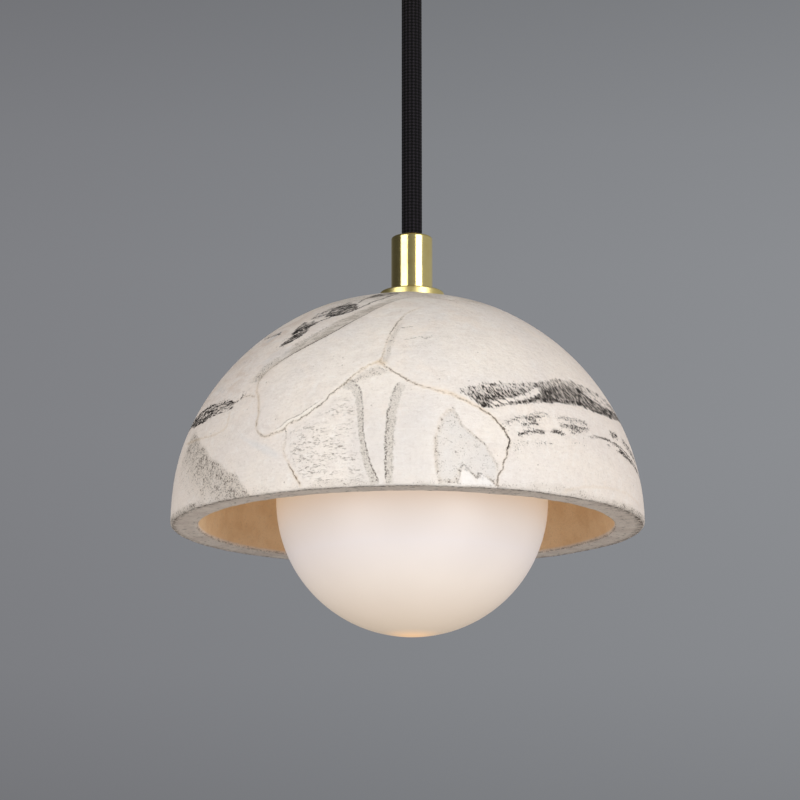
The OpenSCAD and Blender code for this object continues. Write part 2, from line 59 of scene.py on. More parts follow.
camera_place = Vector((0.0, -0.9835, -0.4409))
camera_rise = math.radians(12.55)
camera_turn = math.radians(-0.26)
photo_width_px = 800
focal_px = 2714
sensor_mm = 36.0

lens = bpy.data.cameras.new("long_lens")
lens.sensor_width = sensor_mm
lens.lens = focal_px * sensor_mm / photo_width_px
lens.clip_start = 0.05
camera = bpy.data.objects.new("camera", lens)
bpy.context.scene.collection.objects.link(camera)
sight = Vector((
    math.sin(camera_turn) * math.cos(camera_rise),
    math.cos(camera_turn) * math.cos(camera_rise),
    math.sin(camera_rise),
))
camera.location = camera_place
camera.rotation_euler = sight.to_track_quat("-Z", "Y").to_euler()
bpy.context.scene.camera = camera
bpy.context.scene.view_settings.view_transform = "Standard"


def tone(red, green, blue):
    """A colour as it looks on a screen, 0 to 255, as the light that it stands for."""
    return tuple(
        c / 255 / 12.92 if c <= 10 else ((c / 255 + 0.055) / 1.055) ** 2.4
        for c in (red, green, blue)
    ) + (1.0,)


class Output:
    """A shader node's output. Sums written with it add their nodes; [] gives its node's other outputs."""

    def __init__(self, socket):
        self.socket = socket
        self.id_data = socket.id_data

    def __getitem__(self, name):
        return Output(self.socket.node.outputs[name])

    def step(self, operation, other=0.0):
        return put(self, "Math", {0: self, 1: other}, operation=operation)

    def __add__(self, other):
        return self.step("ADD", other)

    def __sub__(self, other):
        return self.step("SUBTRACT", other)

    def __rsub__(self, number):
        return put(self, "Math", {0: number, 1: self}, operation="SUBTRACT")

    def __mul__(self, other):
        return self.step("MULTIPLY", other)

    def __truediv__(self, other):
        return self.step("DIVIDE", other)

    def __abs__(self):
        return self.step("ABSOLUTE")


def put(near, kind, sockets=None, **settings):
    """Adds a shader node to the tree of near. Each socket is given a value, or an output to wire in."""
    tree = near.id_data
    node = tree.nodes.new("ShaderNode" + kind)
    for name, value in settings.items():
        setattr(node, name, value)
    for name, value in (sockets or {}).items():
        if isinstance(value, Output):
            tree.links.new(value.socket, node.inputs[name])
        else:
            node.inputs[name].default_value = value
    return Output(node.outputs[0])


def split(place):
    """The three numbers of a place or a colour, as [0], [1] and [2]."""
    return put(place, "SeparateXYZ", {0: place})


def ease(value, low, high, from_low=0.0, to_high=1.0):
    """Goes smoothly from from_low to to_high as value goes from low to high."""
    sockets = {"Value": value, "From Min": low, "From Max": high, "To Min": from_low, "To Max": to_high}
    return put(value, "MapRange", sockets, interpolation_type="SMOOTHSTEP")


def tint(share, ground, over):
    """Lays one colour over another by share."""
    return put(share, "Mix", {0: share, 6: ground, 7: over}, data_type="RGBA")[2]


def ramp(share, stops):
    """A colour that changes with share, through stops of a share and a colour each."""
    colour = put(share, "ValToRGB", {0: share})
    elements = colour.socket.node.color_ramp.elements
    while len(elements) < len(stops):
        elements.new(0.5)
    for element, (place, over) in zip(elements, stops):
        element.position = place
        element.color = over
    return colour


softboxes = {
    # name: turn from the camera in degrees, rise, distance, width, height, strength
    "softbox_left": (-44.0, 0.0, 1.25, 0.84, 1.25, 2.86),
    "softbox_right": (39.5, 0.0, 1.25, 0.70, 1.25, 4.75),
    "softbox_back": (180.0, 0.5, 1.6, 1.2, 0.9, 0.6),
}
globe_middle = Vector((0.0, 0.0, -0.26))
for name, (turn, rise, distance, width, height, strength) in softboxes.items():
    lamp = bpy.data.lights.new(name, "AREA")
    lamp.shape = "RECTANGLE"
    lamp.size = width
    lamp.size_y = height
    lamp.energy = strength * math.pi * width * height
    box = bpy.data.objects.new(name, lamp)
    bpy.context.scene.collection.objects.link(box)
    around = math.radians(turn)
    box.location = globe_middle + Vector((
        distance * math.sin(around), -distance * math.cos(around), rise,
    ))
    box.rotation_euler = (globe_middle - box.location).to_track_quat("-Z", "Y").to_euler()
    box.visible_camera = False
bpy.data.objects["softbox_back"].visible_glossy = False

studio = bpy.data.worlds.new("grey_studio")
bpy.context.scene.world = studio
studio.use_nodes = True
air = studio.node_tree
air.nodes.clear()
ray = put(air, "LightPath")
seen = ray["Is Camera Ray"].step("MAXIMUM", ray["Is Glossy Ray"])
seen = seen.step("MAXIMUM", ray["Is Transmission Ray"])
direction = split(put(air, "TexCoord")["Generated"])
across = ramp(ease(direction[0], -1.0, 1.0), [
    (0.0, tone(70, 70, 72)), (0.39, tone(128, 129, 133)), (0.5, tone(134, 136, 140)),
    (0.61, tone(140, 142, 146)), (1.0, tone(168, 168, 170))])
height = put(air, "MapRange", {"Value": direction[2], "From Min": 0.0, "From Max": 0.44})
fall = ramp(height, [(place, (share, share, share, 1.0)) for place, share in [
    (0.0, 0.74), (0.16, 0.82), (0.27, 0.94), (0.46, 1.0), (0.60, 0.99), (0.70, 0.93), (0.82, 0.78),
    (1.0, 0.72)]])
backdrop = put(air, "Background", {"Color": across, "Strength": fall})
overhead = ease(direction[2], 0.2, 1.0, 1.0, 0.72)
fill_light = put(air, "Background", {"Color": tone(161, 161, 164), "Strength": overhead})
sky = put(air, "MixShader", {0: seen, 1: fill_light, 2: backdrop})
air.links.new(sky.socket, air.nodes.new("ShaderNodeOutputWorld").inputs[0])


def new_finish(name, **shader):
    """A new finish and its main shader, whose sockets are set by name."""
    finish = bpy.data.materials.new(name)
    finish.use_nodes = True
    main = finish.node_tree.nodes["Principled BSDF"]
    for socket, value in shader.items():
        main.inputs[socket.replace("_", " ")].default_value = value
    return finish, main


def wire(main, **outputs):
    """Wires outputs into the main shader's sockets by name."""
    for socket, output in outputs.items():
        main.id_data.links.new(output.socket, main.inputs[socket.replace("_", " ")])


def scaled(place, by):
    """A place with each of its three numbers multiplied."""
    return put(place, "VectorMath", {0: place, 1: by}, operation="MULTIPLY")


def place_mm(near, stretch=(1.0, 1.0, 1.0)):
    """Where a point is on its piece, in millimetres, drawn out along an axis where stretch is over 1."""
    return scaled(put(near, "TexCoord")["Object"], tuple(1000.0 / s for s in stretch))


def grain(place, size_mm, detail=3.0, rough=0.5, bend=0.0):
    """Cloudy grain, with lumps of about size_mm."""
    return put(place, "TexNoise", {
        "Vector": place, "Scale": 1 / size_mm, "Detail": detail, "Roughness": rough, "Distortion": bend})


def raise_surface(main, height, depth_mm, strength=1.0):
    """Small relief: height is from 0 to 1, and depth_mm is how deep that is."""
    sockets = {"Height": height, "Distance": depth_mm * MM, "Strength": strength}
    for link in main.inputs["Normal"].links:
        sockets["Normal"] = Output(link.from_socket)
    wire(main, Normal=put(main, "Bump", sockets))


def piece_from(name, points, faces, finishes, smooth=True):
    """Makes a mesh piece from points in metres, and links it."""
    mesh = bpy.data.meshes.new(name)
    mesh.from_pydata([tuple(p) for p in points], [], faces)
    mesh.update()
    for finish in finishes:
        mesh.materials.append(finish)
    mesh.polygons.foreach_set("use_smooth", [smooth] * len(mesh.polygons))
    piece = bpy.data.objects.new(name, mesh)
    bpy.context.scene.collection.objects.link(piece)
    return piece


floor_z = -1.6
floor_half = 9.0
floor_steps = 6
floor_paint, main = new_finish("pale_floor", Roughness=0.8)
wire(main, Base_Color=tint(grain(place_mm(main), 400.0), tone(206, 205, 203), tone(214, 213, 211)))
marks = np.linspace(-floor_half, floor_half, floor_steps + 1)
floor_points = [(x, y, floor_z) for y in marks for x in marks]
row = floor_steps + 1
floor_faces = [
    (j * row + i, j * row + i + 1, (j + 1) * row + i + 1, (j + 1) * row + i)
    for j in range(floor_steps) for i in range(floor_steps)
]
floor = piece_from("studio_floor", floor_points, floor_faces, [floor_paint], smooth=False)

# Cord
# Three-core flex in a tight black textile braid, sixteen strands each way round, hanging straight.
# It is held by a grub screw in each brass grip. It is made as two straight lengths, which meet at the point
# under the ceiling rose where the real cord bends.
cord_r = 3.9
rose_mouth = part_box("rose_cord_grip")[0].z / MM
bend_z = rose_mouth - 5.0
cord_in_rose_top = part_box("cord_in_rose")[1].z / MM
cord_low_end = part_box("cord")[0].z / MM
braid_strands = 16
braid_pitch = 1.25
braid_relief = 0.16
braid_sides = 96
braid_step = 0.3
threads_in_strand = 3


def mark(near, name):
    """The three numbers that a piece's points hold under a name, as [0], [1] and [2]."""
    return split(put(near, "Attribute", attribute_name=name)["Vector"])


braid_finish, main = new_finish(
    "black_braid", Roughness=0.7, Sheen_Weight=0.05, Sheen_Roughness=0.4, Specular_IOR_Level=0.12)
lay = mark(main, "strand")
thread, thread_back = [(lay[way] * (2 * math.pi * threads_in_strand)).step("SINE") for way in (0, 1)]
over = lay[2].step("GREATER_THAN", 0.5)
twill = put(main, "Mix", {0: over, 2: thread, 3: thread_back}, data_type="FLOAT")
fuzz = grain(place_mm(main, (1.0, 1.0, 1.6)), 0.35, 4.0, 0.65)
# Lighter on the raised strands and darker in the hollows between them: painted shade in the weave, mixed
# with random fuzz.
black = tint(ease(lay[2] * 0.55 + fuzz * 0.45, 0.38, 0.72), tone(1, 1, 1), tone(34, 30, 35))
wire(main, Base_Color=black)
raise_surface(main, twill * 0.3 + fuzz, 0.12, 0.8)


def braided_length(name, top, bottom):
    """A straight closed length of braided cord, from top to bottom, in millimetres."""
    count = max(2, round((top - bottom) / braid_step) + 1)
    z = np.linspace(top, bottom, count)[:, None]
    around = 2 * np.pi * np.arange(braid_sides)[None, :] / braid_sides
    one_way = braid_strands / 2 * around / (2 * np.pi) + (z - bend_z) / braid_pitch / 2
    other_way = braid_strands / 2 * around / (2 * np.pi) - (z - bend_z) / braid_pitch / 2
    weave = 0.5 + 0.5 * np.sin(2 * np.pi * one_way) * np.sin(2 * np.pi * other_way)
    radius = cord_r - braid_relief * (1 - weave)
    x = radius * np.cos(around)
    y = radius * np.sin(around)
    points = np.stack([x, y, np.broadcast_to(z, x.shape)], -1).reshape(-1, 3) * MM
    n = braid_sides
    faces = [(i * n + (k + 1) % n, i * n + k, (i + 1) * n + k, (i + 1) * n + (k + 1) % n)
             for i in range(count - 1) for k in range(n)]
    faces += [tuple(range(n)), tuple((count - 1) * n + k for k in reversed(range(n)))]
    length = piece_from(name, points, faces, [braid_finish])
    attribute = length.data.attributes.new("strand", "FLOAT_VECTOR", "POINT")
    lie = np.stack([one_way, other_way, weave], -1).reshape(-1)
    attribute.data.foreach_set("vector", lie.astype(np.float32))
    return length


cord_top = braided_length("cord_in_the_grip", cord_in_rose_top, bend_z)
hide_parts("cord_in_rose")
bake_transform(cord_top)
hanging_cord = braided_length("hanging_cord", bend_z, cord_low_end)
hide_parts("cord_bend", "cord")
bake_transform(hanging_cord)

# Ceiling bracket and its side screws
# A strip of zinc-plated steel, punched for two ceiling screws and the supply cable, its ends turned down.
# Two brass screws in the ears hold the rose cup.


def dress(finish, *names):
    """Gives CAD nodes their finish."""
    for name in names:
        nodes[name].data.materials.clear()
        nodes[name].data.materials.append(finish)


def steel_finish(name, light, dark, rough):
    """Plated or bare steel, rolled along X, with cloudy plating."""
    finish, main = new_finish(name, Metallic=1.0, Roughness=rough)
    rolled = grain(place_mm(main, (14.0, 1.0, 1.0)), 0.5, 4.0)
    both = rolled * 0.4 + grain(place_mm(main), 6.0, 3.0) * 0.6
    wire(main, Base_Color=tint(both, light, dark),
         Roughness=ease(both, 0.2, 0.8, rough - 0.08, rough + 0.1))
    raise_surface(main, rolled, 0.02)
    return finish


def axis_distance(place):
    """How far a place is from the light's axis."""
    flat = scaled(place, (1.0, 1.0, 0.0))
    return put(flat, "VectorMath", {0: flat}, operation="LENGTH")["Value"]


def brass_finish(name, rough):
    """Polished brass with the fine rings that turning and spinning leave round the light's axis."""
    finish, main = new_finish(name, Metallic=1.0, Roughness=rough)
    place = place_mm(main)
    rings = put(main, "CombineXYZ", {0: axis_distance(place), 1: split(place)[2]})
    turned = grain(rings, 0.14, 3.0, 0.6)
    tarnish = ease(grain(place, 7.0, 4.0, 0.6), 0.35, 0.75)
    wire(main, Base_Color=tint(tarnish, tone(248, 230, 157), tone(241, 219, 140)),
         Roughness=ease(turned, 0.25, 0.75, rough - 0.04, rough + 0.07))
    raise_surface(main, turned, 0.012)
    return finish


zinc = steel_finish("zinc_plate", tone(205, 207, 210), tone(172, 175, 180), 0.38)
polished_brass = brass_finish("polished_brass", 0.13)
dress(zinc, "mounting_bracket")
dress(polished_brass, "rose_side_screws")

# Rose cup
# A cup spun from brass sheet, its open side against the ceiling, with a notch each side for the screws.
# It slides up over the bracket and hides the wiring.
dress(polished_brass, "rose_cup")

# Rose's cord grip, short rod, washer and nut
# The grip screws on the hollow rod under the cup, and the nut and washer clamp the rod to the cup's floor.
# A steel grub screw in the grip's back bites on the braid.
bright_steel = steel_finish("bright_steel", tone(196, 196, 194), tone(158, 158, 157), 0.3)
dress(polished_brass, "rose_cord_grip", "rose_rod")
dress(bright_steel, "rose_washer", "rose_nut", "rose_grip_screw")

# Terminal block
# A three-pole block moulded in cloudy plastic, with a brass tube and two steel screws for each pole.
# It lies on the cup's floor behind the nut, and the light's cores come in from the front.


def moulded_finish(name, light, dark, rough, lump_mm=2.5, **shader):
    """Moulded plastic or rubber, with a slightly cloudy colour and an eggshell surface."""
    finish, main = new_finish(name, Roughness=rough, **shader)
    cloud = grain(place_mm(main), lump_mm, 4.0, 0.6)
    wire(main, Base_Color=tint(ease(cloud, 0.3, 0.7), light, dark))
    raise_surface(main, grain(place_mm(main), 0.25, 2.0), 0.02)
    return finish


block_plastic = moulded_finish(
    "block_plastic", tone(238, 235, 224), tone(224, 220, 206), 0.42, Subsurface_Weight=0.15)
dress(block_plastic, "terminal_block")
dress(polished_brass, "terminal_tubes")
dress(bright_steel, "terminal_screws")

# Cores, in the rose and in the pendant
# The flex's own brown, blue and green-and-yellow insulated cores, stripped of their braid.
# Brown and blue go to the lampholder, green and yellow to the metal.
brown_pvc = moulded_finish("brown_insulation", tone(112, 66, 38), tone(96, 55, 31), 0.38)
blue_pvc = moulded_finish("blue_insulation", tone(38, 92, 168), tone(30, 78, 148), 0.38)
earth_pvc, main = new_finish("green_and_yellow_insulation", Roughness=0.38)
along = split(place_mm(main))
stripe = ((along[0] * 1.1 + along[2] * 0.35) * 1.5).step("SINE")
earth_green = tint(grain(place_mm(main), 2.0), tone(62, 128, 48), tone(50, 112, 40))
wire(main, Base_Color=tint(ease(stripe, -0.08, 0.08), earth_green, tone(214, 200, 40)))
dress(brown_pvc, "rose_live_core", "live_core")
dress(blue_pvc, "rose_neutral_core", "neutral_core")
dress(earth_pvc, "rose_earth_core", "earth_core")

# Lower cord grip, seating ring and gasket
# A turned brass tube with a rounded top edge, on a flat turned ring that spreads its pull on the clay.
# A thin rubber gasket is hidden in a recess under the ring.
black_rubber = moulded_finish("black_rubber", tone(34, 34, 34), tone(26, 26, 27), 0.7)
turned_brass = brass_finish("turned_brass", 0.34)
dress(polished_brass, "cord_grip")
dress(turned_brass, "seating_ring")
dress(bright_steel, "grip_screw")
dress(black_rubber, "top_gasket")

# Shade
# A thick half ball of cream stoneware, laid up by hand from lapped slabs of clay with black slip between,
# then scraped smooth: the slip shows as brushed streaks, and the laps as thin seams. The rim is bare.
bowl_x = -2.0
bowl_ball_r = 87.5
bowl_wall = 11.5
rim_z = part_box("shade")[0].z / MM
seat_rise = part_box("shade")[1].z / MM - rim_z
seat_flat_r = math.sqrt(bowl_ball_r ** 2 - seat_rise ** 2)
hole_r = 5.3
hole_x = -bowl_x
inner_r = bowl_ball_r - bowl_wall
inner_seat_r = 14.8
inner_seat_rise = math.sqrt(inner_r ** 2 - inner_seat_r ** 2)
sectors = 480
outer_rings = 122
inner_rings = 46
rim_rings = 10
rim_edge_r = 1.0
rim_chamfers = 1.7
outer_low = 1.2
inner_low = 1.6

# A place on the outside is a bearing in degrees, + to the right of the front, and a height above the rim.
slab_foot = [
    (-38.2, 23.4), (-36.9, 21.4), (-34.8, 20.3), (-32.3, 20.7), (-30.2, 21.8), (-28.6, 23.8), (-25.7, 25.2),
    (-23, 27.8), (-20.2, 30.6), (-18.7, 33.5), (-15.2, 38), (-13, 41), (-10.3, 43.7), (-7.4, 45.6),
    (-5.5, 43.6), (-2.8, 41), (0.3, 38.1), (2.4, 36.4), (6.4, 34.7), (10.6, 33), (13, 31.6), (15.3, 29.7),
    (17.7, 27.9), (19.7, 26.2), (21.3, 24.3), (22.3, 22.1), (23.4, 20.4), (23.7, 18.8), (24.4, 16.9),
    (24, 14.9), (23.5, 13.4), (23.3, 11.4), (22.4, 8.7), (21.9, 5.9), (21, 3.7), (20.7, 0),
]
slab_head = [
    (-38.2, 23.4), (-38.5, 26.6), (-38.6, 29.7), (-40, 34.9), (-41.9, 39), (-42.6, 43), (-41, 46.7),
    (-38.8, 49), (-35.4, 51.9), (-31.4, 54.6), (-27.2, 57.5), (-23.3, 60.6), (-19.6, 63.9), (-15.2, 67.6),
    (-10.5, 71.4), (-5.1, 74.6), (1.2, 76.8), (10, 78.6),
]
slab_side = [
    (-7.3, 45.5), (-6.3, 48), (-6, 52.3), (-5.1, 56.7), (-3.6, 61.3), (-1.7, 65), (0.4, 67.5), (3.8, 69.8),
    (6.4, 70.7), (7.4, 68.8),
]


def ball_point(bearing, height):
    """A point on the ball of the bowl, in millimetres from its middle."""
    flat = math.sqrt(max(bowl_ball_r ** 2 - height ** 2, 1.0))
    turn = math.radians(bearing)
    return np.array([flat * math.sin(turn), -flat * math.cos(turn), height])


def trail(places, steps=12):
    """A smooth line on the ball through places: its points, millimetres along, its heading and its left."""
    stops = np.array([ball_point(*place) for place in places])
    ends = np.vstack([2 * stops[0] - stops[1], stops, 2 * stops[-1] - stops[-2]])
    points = []
    for i in range(len(stops) - 1):
        a, b, c, d = ends[i:i + 4]
        t = np.arange(steps)[:, None] / steps
        points.append(0.5 * (2 * b + (c - a) * t + (2 * a - 5 * b + 4 * c - d) * t ** 2
                             + (3 * b - a - 3 * c + d) * t ** 3))
    points = np.vstack(points + [stops[-1:]])
    points *= bowl_ball_r / np.linalg.norm(points, axis=1)[:, None]
    heading = np.gradient(points, axis=0)
    heading /= np.linalg.norm(heading, axis=1)[:, None]
    left = np.cross(points / bowl_ball_r, heading)
    run = np.concatenate([[0], np.cumsum(np.linalg.norm(np.diff(points, axis=0), axis=1))])
    return points, run, heading, left


def follow(places, fades):
    """For every point: its share of the way along a trail, how far left of it, and its presence.

    Each trail is drawn again on the back, half a turn round, because the photograph doesn't show the back.
    """
    found = np.zeros((3, len(where)))
    nearest = np.full(len(where), np.inf)
    for half in (0, 180):
        points, run, heading, left = trail([(bearing + half, height) for bearing, height in places])
        gaps = (where ** 2).sum(1)[:, None] + (points ** 2).sum(1)[None, :] - 2 * where @ points.T
        pick = gaps.argmin(1)
        gap = gaps[np.arange(len(where)), pick]
        step = where - points[pick]
        at = run[pick] + (step * heading[pick]).sum(1)
        aside = (step * left[pick]).sum(1)
        presence = smooth(at / fades[0]) * smooth((run[-1] - at) / fades[1])
        found = np.where(gap < nearest, [np.clip(at / run[-1], 0, 1), aside, presence], found)
        nearest = np.minimum(gap, nearest)
    return found


def smooth(value):
    """0 up to 0, 1 from 1 on, and smooth between."""
    value = np.clip(value, 0.0, 1.0)
    return value * value * (3 - 2 * value)


def along_it(share, stops):
    """A value that is given at a few shares of a trail's length, or one number for all of it."""
    return np.interp(share, *zip(*stops)) if isinstance(stops, list) else stops


def waves(where, size, seed, octaves=3):
    """Smooth hand-made unevenness from -1 to 1, with swells of about size millimetres."""
    rng = np.random.default_rng(seed)
    total = np.zeros(len(where))
    for octave in range(octaves):
        for _ in range(5):
            way = rng.normal(size=3)
            way *= 2 * np.pi / (size / 1.8 ** octave) / np.linalg.norm(way)
            total += np.sin(where @ way + rng.uniform(0, 2 * np.pi)) / 1.9 ** octave
    return total / np.abs(total).max()


# Rings of the bowl from the hole's top edge over the outside, the rim and the inside, back to the hole.
profile = [(hole_r, seat_rise, 1.0)]
profile += [(r, seat_rise, 1 - (r - hole_r) / (seat_flat_r - hole_r)) for r in (6.0, 7.5, 9.5, 11.5, 13.2)]
last_seat = len(profile) - 1
seat_angle = math.asin(seat_rise / bowl_ball_r)
edge_angle = math.asin(outer_low / bowl_ball_r)
for k in range(outer_rings + 1):
    angle = seat_angle + (edge_angle - seat_angle) * k / outer_rings
    profile.append((bowl_ball_r * math.cos(angle), bowl_ball_r * math.sin(angle), 0.0))
last_outer = len(profile) - 1
for k in (25, 50, 75):
    turn = math.radians(k)
    inwards = rim_edge_r * (1 - math.cos(turn))
    profile.append((bowl_ball_r - inwards, rim_edge_r * (1 - math.sin(turn)), 0.0))
rim_first = len(profile)
for k in range(rim_rings):
    profile.append((bowl_ball_r - rim_edge_r - (bowl_wall - rim_chamfers) * k / (rim_rings - 1), 0.0, 0.0))
profile += [(inner_r + 0.3, 0.2, 0.0), (inner_r, 0.8, 0.0)]
inner_first = len(profile) - 1
low_angle = math.asin(inner_low / inner_r)
high_angle = math.asin(inner_seat_rise / inner_r)
for k in range(inner_rings + 1):
    angle = low_angle + (high_angle - low_angle) * k / inner_rings
    profile.append((inner_r * math.cos(angle), inner_r * math.sin(angle), 0.0))
profile += [(11.0, inner_seat_rise, 0.35), (7.5, inner_seat_rise, 0.75), (hole_r, inner_seat_rise, 1.0)]
crown_wall = seat_rise - inner_seat_rise
profile += [(hole_r, inner_seat_rise + crown_wall * share, 1.0) for share in (0.33, 0.67)]

turns = 2 * np.pi * np.arange(sectors) / sectors
rings = np.array(profile)
x = rings[:, :1] * np.sin(turns)[None, :] + hole_x * rings[:, 2:]
y = -rings[:, :1] * np.cos(turns)[None, :]
z = np.broadcast_to(rings[:, 1:2], x.shape)
body = np.stack([x, y, z], -1).reshape(-1, 3)
ring_of = np.repeat(np.arange(len(profile)), sectors)
outside = ring_of <= rim_first
where = body[outside]
where = where * (bowl_ball_r / np.linalg.norm(where, axis=1))[:, None]
bearing = np.degrees(np.arctan2(where[:, 0], -where[:, 1]))
latitude = np.arcsin(where[:, 2] / bowl_ball_r)
from_axis = np.hypot(where[:, 0], where[:, 1])
up_mm = where[:, 2]
half_turn = bearing % 180
off_front = (bearing + 90) % 180 - 90
far_mm = 60.0
seam_reach = 8.0


def seams(*lines):
    """The nearest of several seams: millimetres to its left, how dark it is there, and how warm."""
    found = np.zeros((3, len(where)))
    found[0] = nearest = np.full(len(where), far_mm)
    for places, fades, darkness, warmth in lines:
        share, left_by, there = follow(places, fades)
        off = np.abs(left_by) + seam_reach * (1 - there)
        here = [left_by, there * along_it(share, darkness), there * along_it(share, warmth)]
        found = np.where(off < nearest, here, found)
        nearest = np.minimum(off, nearest)
    side, dark, warm = found
    beside = smooth((3.4 - np.abs(side)) / 1.4)
    return np.clip(side, -seam_reach, seam_reach), dark * beside, warm * beside


def patch(outline):
    """How far inside an outline on the ball each point is, in millimetres, and less than 0 outside it."""
    spots = np.array([(b, math.degrees(math.asin(h / bowl_ball_r))) for b, h in outline])
    middle = spots.mean(0)
    scale = math.radians(1) * bowl_ball_r * np.array([math.cos(math.radians(middle[1])), 1.0])
    corners = (spots - middle) * scale
    deepest = np.full(len(where), -far_mm)
    for turn in (0, 180):
        u = ((bearing - middle[0] - turn + 180) % 360 - 180) * scale[0]
        v = (np.degrees(latitude) - middle[1]) * scale[1]
        gap = np.full(len(where), np.inf)
        inside = np.zeros(len(where), bool)
        for (ax, ay), (bx, by) in zip(corners, np.roll(corners, -1, axis=0)):
            along = np.clip(((u - ax) * (bx - ax) + (v - ay) * (by - ay))
                            / max((bx - ax) ** 2 + (by - ay) ** 2, 1e-9), 0, 1)
            gap = np.minimum(gap, np.hypot(u - ax - along * (bx - ax), v - ay - along * (by - ay)))
            inside ^= ((ay > v) != (by > v)) & (u < (bx - ax) * (v - ay) / (by - ay + 1e-12) + ax)
        deepest = np.maximum(deepest, np.where(inside, gap, -gap))
    return deepest


def within(outline, soft_mm, lift=0.5):
    """1 inside an outline and 0 outside it, with an edge soft_mm wide, which lift moves outwards."""
    return smooth(patch(outline) / soft_mm + lift)


def strongest(*patches):
    """The strongest of several patches, each an outline, its strength and its edge as within() takes it."""
    return np.maximum.reduce([strength * within(outline, *edge) for outline, strength, *edge in patches])


def slanted(middle_bearing, middle_height, slant, coarse_from=90.0):
    """Millimetres across and along strokes that lie slant degrees up from level, about a middle.

    The brush was fuller on the dome's side: strokes are wider from coarse_from millimetres rightwards.
    """
    middle = math.asin(middle_height / bowl_ball_r)
    across = np.zeros(len(where))
    down = np.zeros(len(where))
    turn = math.radians(slant)
    for half in (0, 180):
        u = np.radians((bearing - middle_bearing - half + 180) % 360 - 180) * bowl_ball_r * math.cos(middle)
        v = (latitude - middle) * bowl_ball_r
        here = np.abs(u) < 80
        u = np.minimum(u, coarse_from + (u - coarse_from) * 0.5)
        across = np.where(here, -u * math.sin(turn) + v * math.cos(turn) + 7 * half, across)
        down = np.where(here, u * math.cos(turn) + v * math.sin(turn), down)
    return across, down


# The two edges of the long slab that runs up over the front.
foot_share, foot_side, foot_there = follow(slab_foot, (1.0, 1.5))
foot_dark = foot_there * along_it(foot_share, [
    (0, 0.45), (0.1, 0.5), (0.2, 0.62), (0.3, 0.62), (0.38, 0.5), (0.42, 0.35), (0.46, 0.6), (0.55, 0.62),
    (0.62, 0.4), (0.72, 0.5), (0.76, 0.7), (0.79, 0.8), (0.82, 0.95), (0.835, 0.7), (0.85, 0.98),
    (0.88, 0.98), (0.9, 0.66), (1, 0.7)])
foot_warm = foot_there * along_it(foot_share, [
    (0, 0.7), (0.1, 0.4), (0.25, 0.3), (0.38, 0.6), (0.43, 1.0), (0.47, 0.4), (0.58, 0.5), (0.64, 0.6),
    (0.78, 0.6), (0.85, 0.4), (1, 0.5)])
head_share, head_side, head_there = follow(slab_head, (1.0, 9.0))
head_dark = head_there * along_it(head_share, [
    (0, 0.5), (0.06, 0.4), (0.15, 0.34), (0.22, 0.5), (0.3, 0.5), (0.36, 0.84), (0.42, 0.93), (0.6, 0.9),
    (0.7, 0.75), (0.8, 0.6), (0.9, 0.5), (1, 0.3)])
head_warm = head_there * along_it(head_share, [(0, 0.9), (0.15, 0.8), (0.25, 0.3), (0.4, 0.1), (1, 0.0)])
foot_dark *= smooth((5 - np.abs(foot_side)) / 2)
head_dark *= smooth((5 - np.abs(head_side)) / 2)
side_share, side_side, side_there = follow(slab_side, (0.5, 8.0))

first_seams = seams(
    (slab_side, (0.5, 8.0),
     [(0, 0.5), (0.2, 0.4), (0.35, 0.55), (0.46, 0.8), (0.6, 0.5), (0.8, 0.4), (1, 0.3)],
     [(0, 0.8), (0.2, 0.4), (0.5, 0.3), (1, 0.5)]),
    ([(-73.6, 26.5), (-64.3, 25.7), (-57, 25.1), (-51.3, 25.5), (-49.4, 27.5), (-50, 33.4)], (3, 1.5),
     [(0, 0.3), (0.5, 0.42), (0.8, 0.25), (1, 0.2)], [(0, 0.7), (1, 0.5)]),
    ([(-29.6, 23), (-29.1, 19.5), (-29.4, 14.1), (-28.1, 10.3), (-26.3, 5.7), (-24.2, 0.8)], (0.8, 0.8),
     [(0, 0.75), (0.2, 0.4), (0.5, 0.35), (0.7, 0.6), (0.85, 0.7), (1, 0.5)],
     [(0, 0.1), (0.5, 0.4), (0.85, 0.9), (1, 0.7)]),
    ([(11.2, 27.7), (12.1, 24.8), (13, 21.2), (15.2, 17.7), (18.1, 15.3), (19.7, 11.9), (20.9, 8),
      (21.3, 5)],
     (0.8, 2), [(0, 0.3), (0.3, 0.42), (0.7, 0.3), (1, 0.2)], 0),
    ([(37, 0.4), (41, 2.2), (47, 4.2), (54, 5.4), (61, 5.8), (68, 5.2), (76, 3.4)], (3, 5),
     [(0, 0.22), (0.5, 0.16), (1, 0.1)], [(0, 0.4), (1, 0.25)]),
    ([(-51, 36), (-49, 35.9), (-47.5, 36.9), (-47.2, 38.2), (-48, 39.2)], (0.6, 0.6),
     [(0, 0.6), (0.6, 0.85), (1, 0.9)], 0),
    ([(-49.6, 34.6), (-48.4, 36.6), (-46, 37.5), (-43.4, 37.2), (-41, 36)], (0.8, 1),
     [(0, 0.4), (1, 0.5)], 0.4),
    ([(-1.4, 54.4), (1.5, 55.3), (4.5, 56.1), (5.9, 55.2), (8.4, 57.7)], (1.5, 1.5),
     [(0, 0.45), (0.6, 0.6), (1, 0.5)], 0),
)
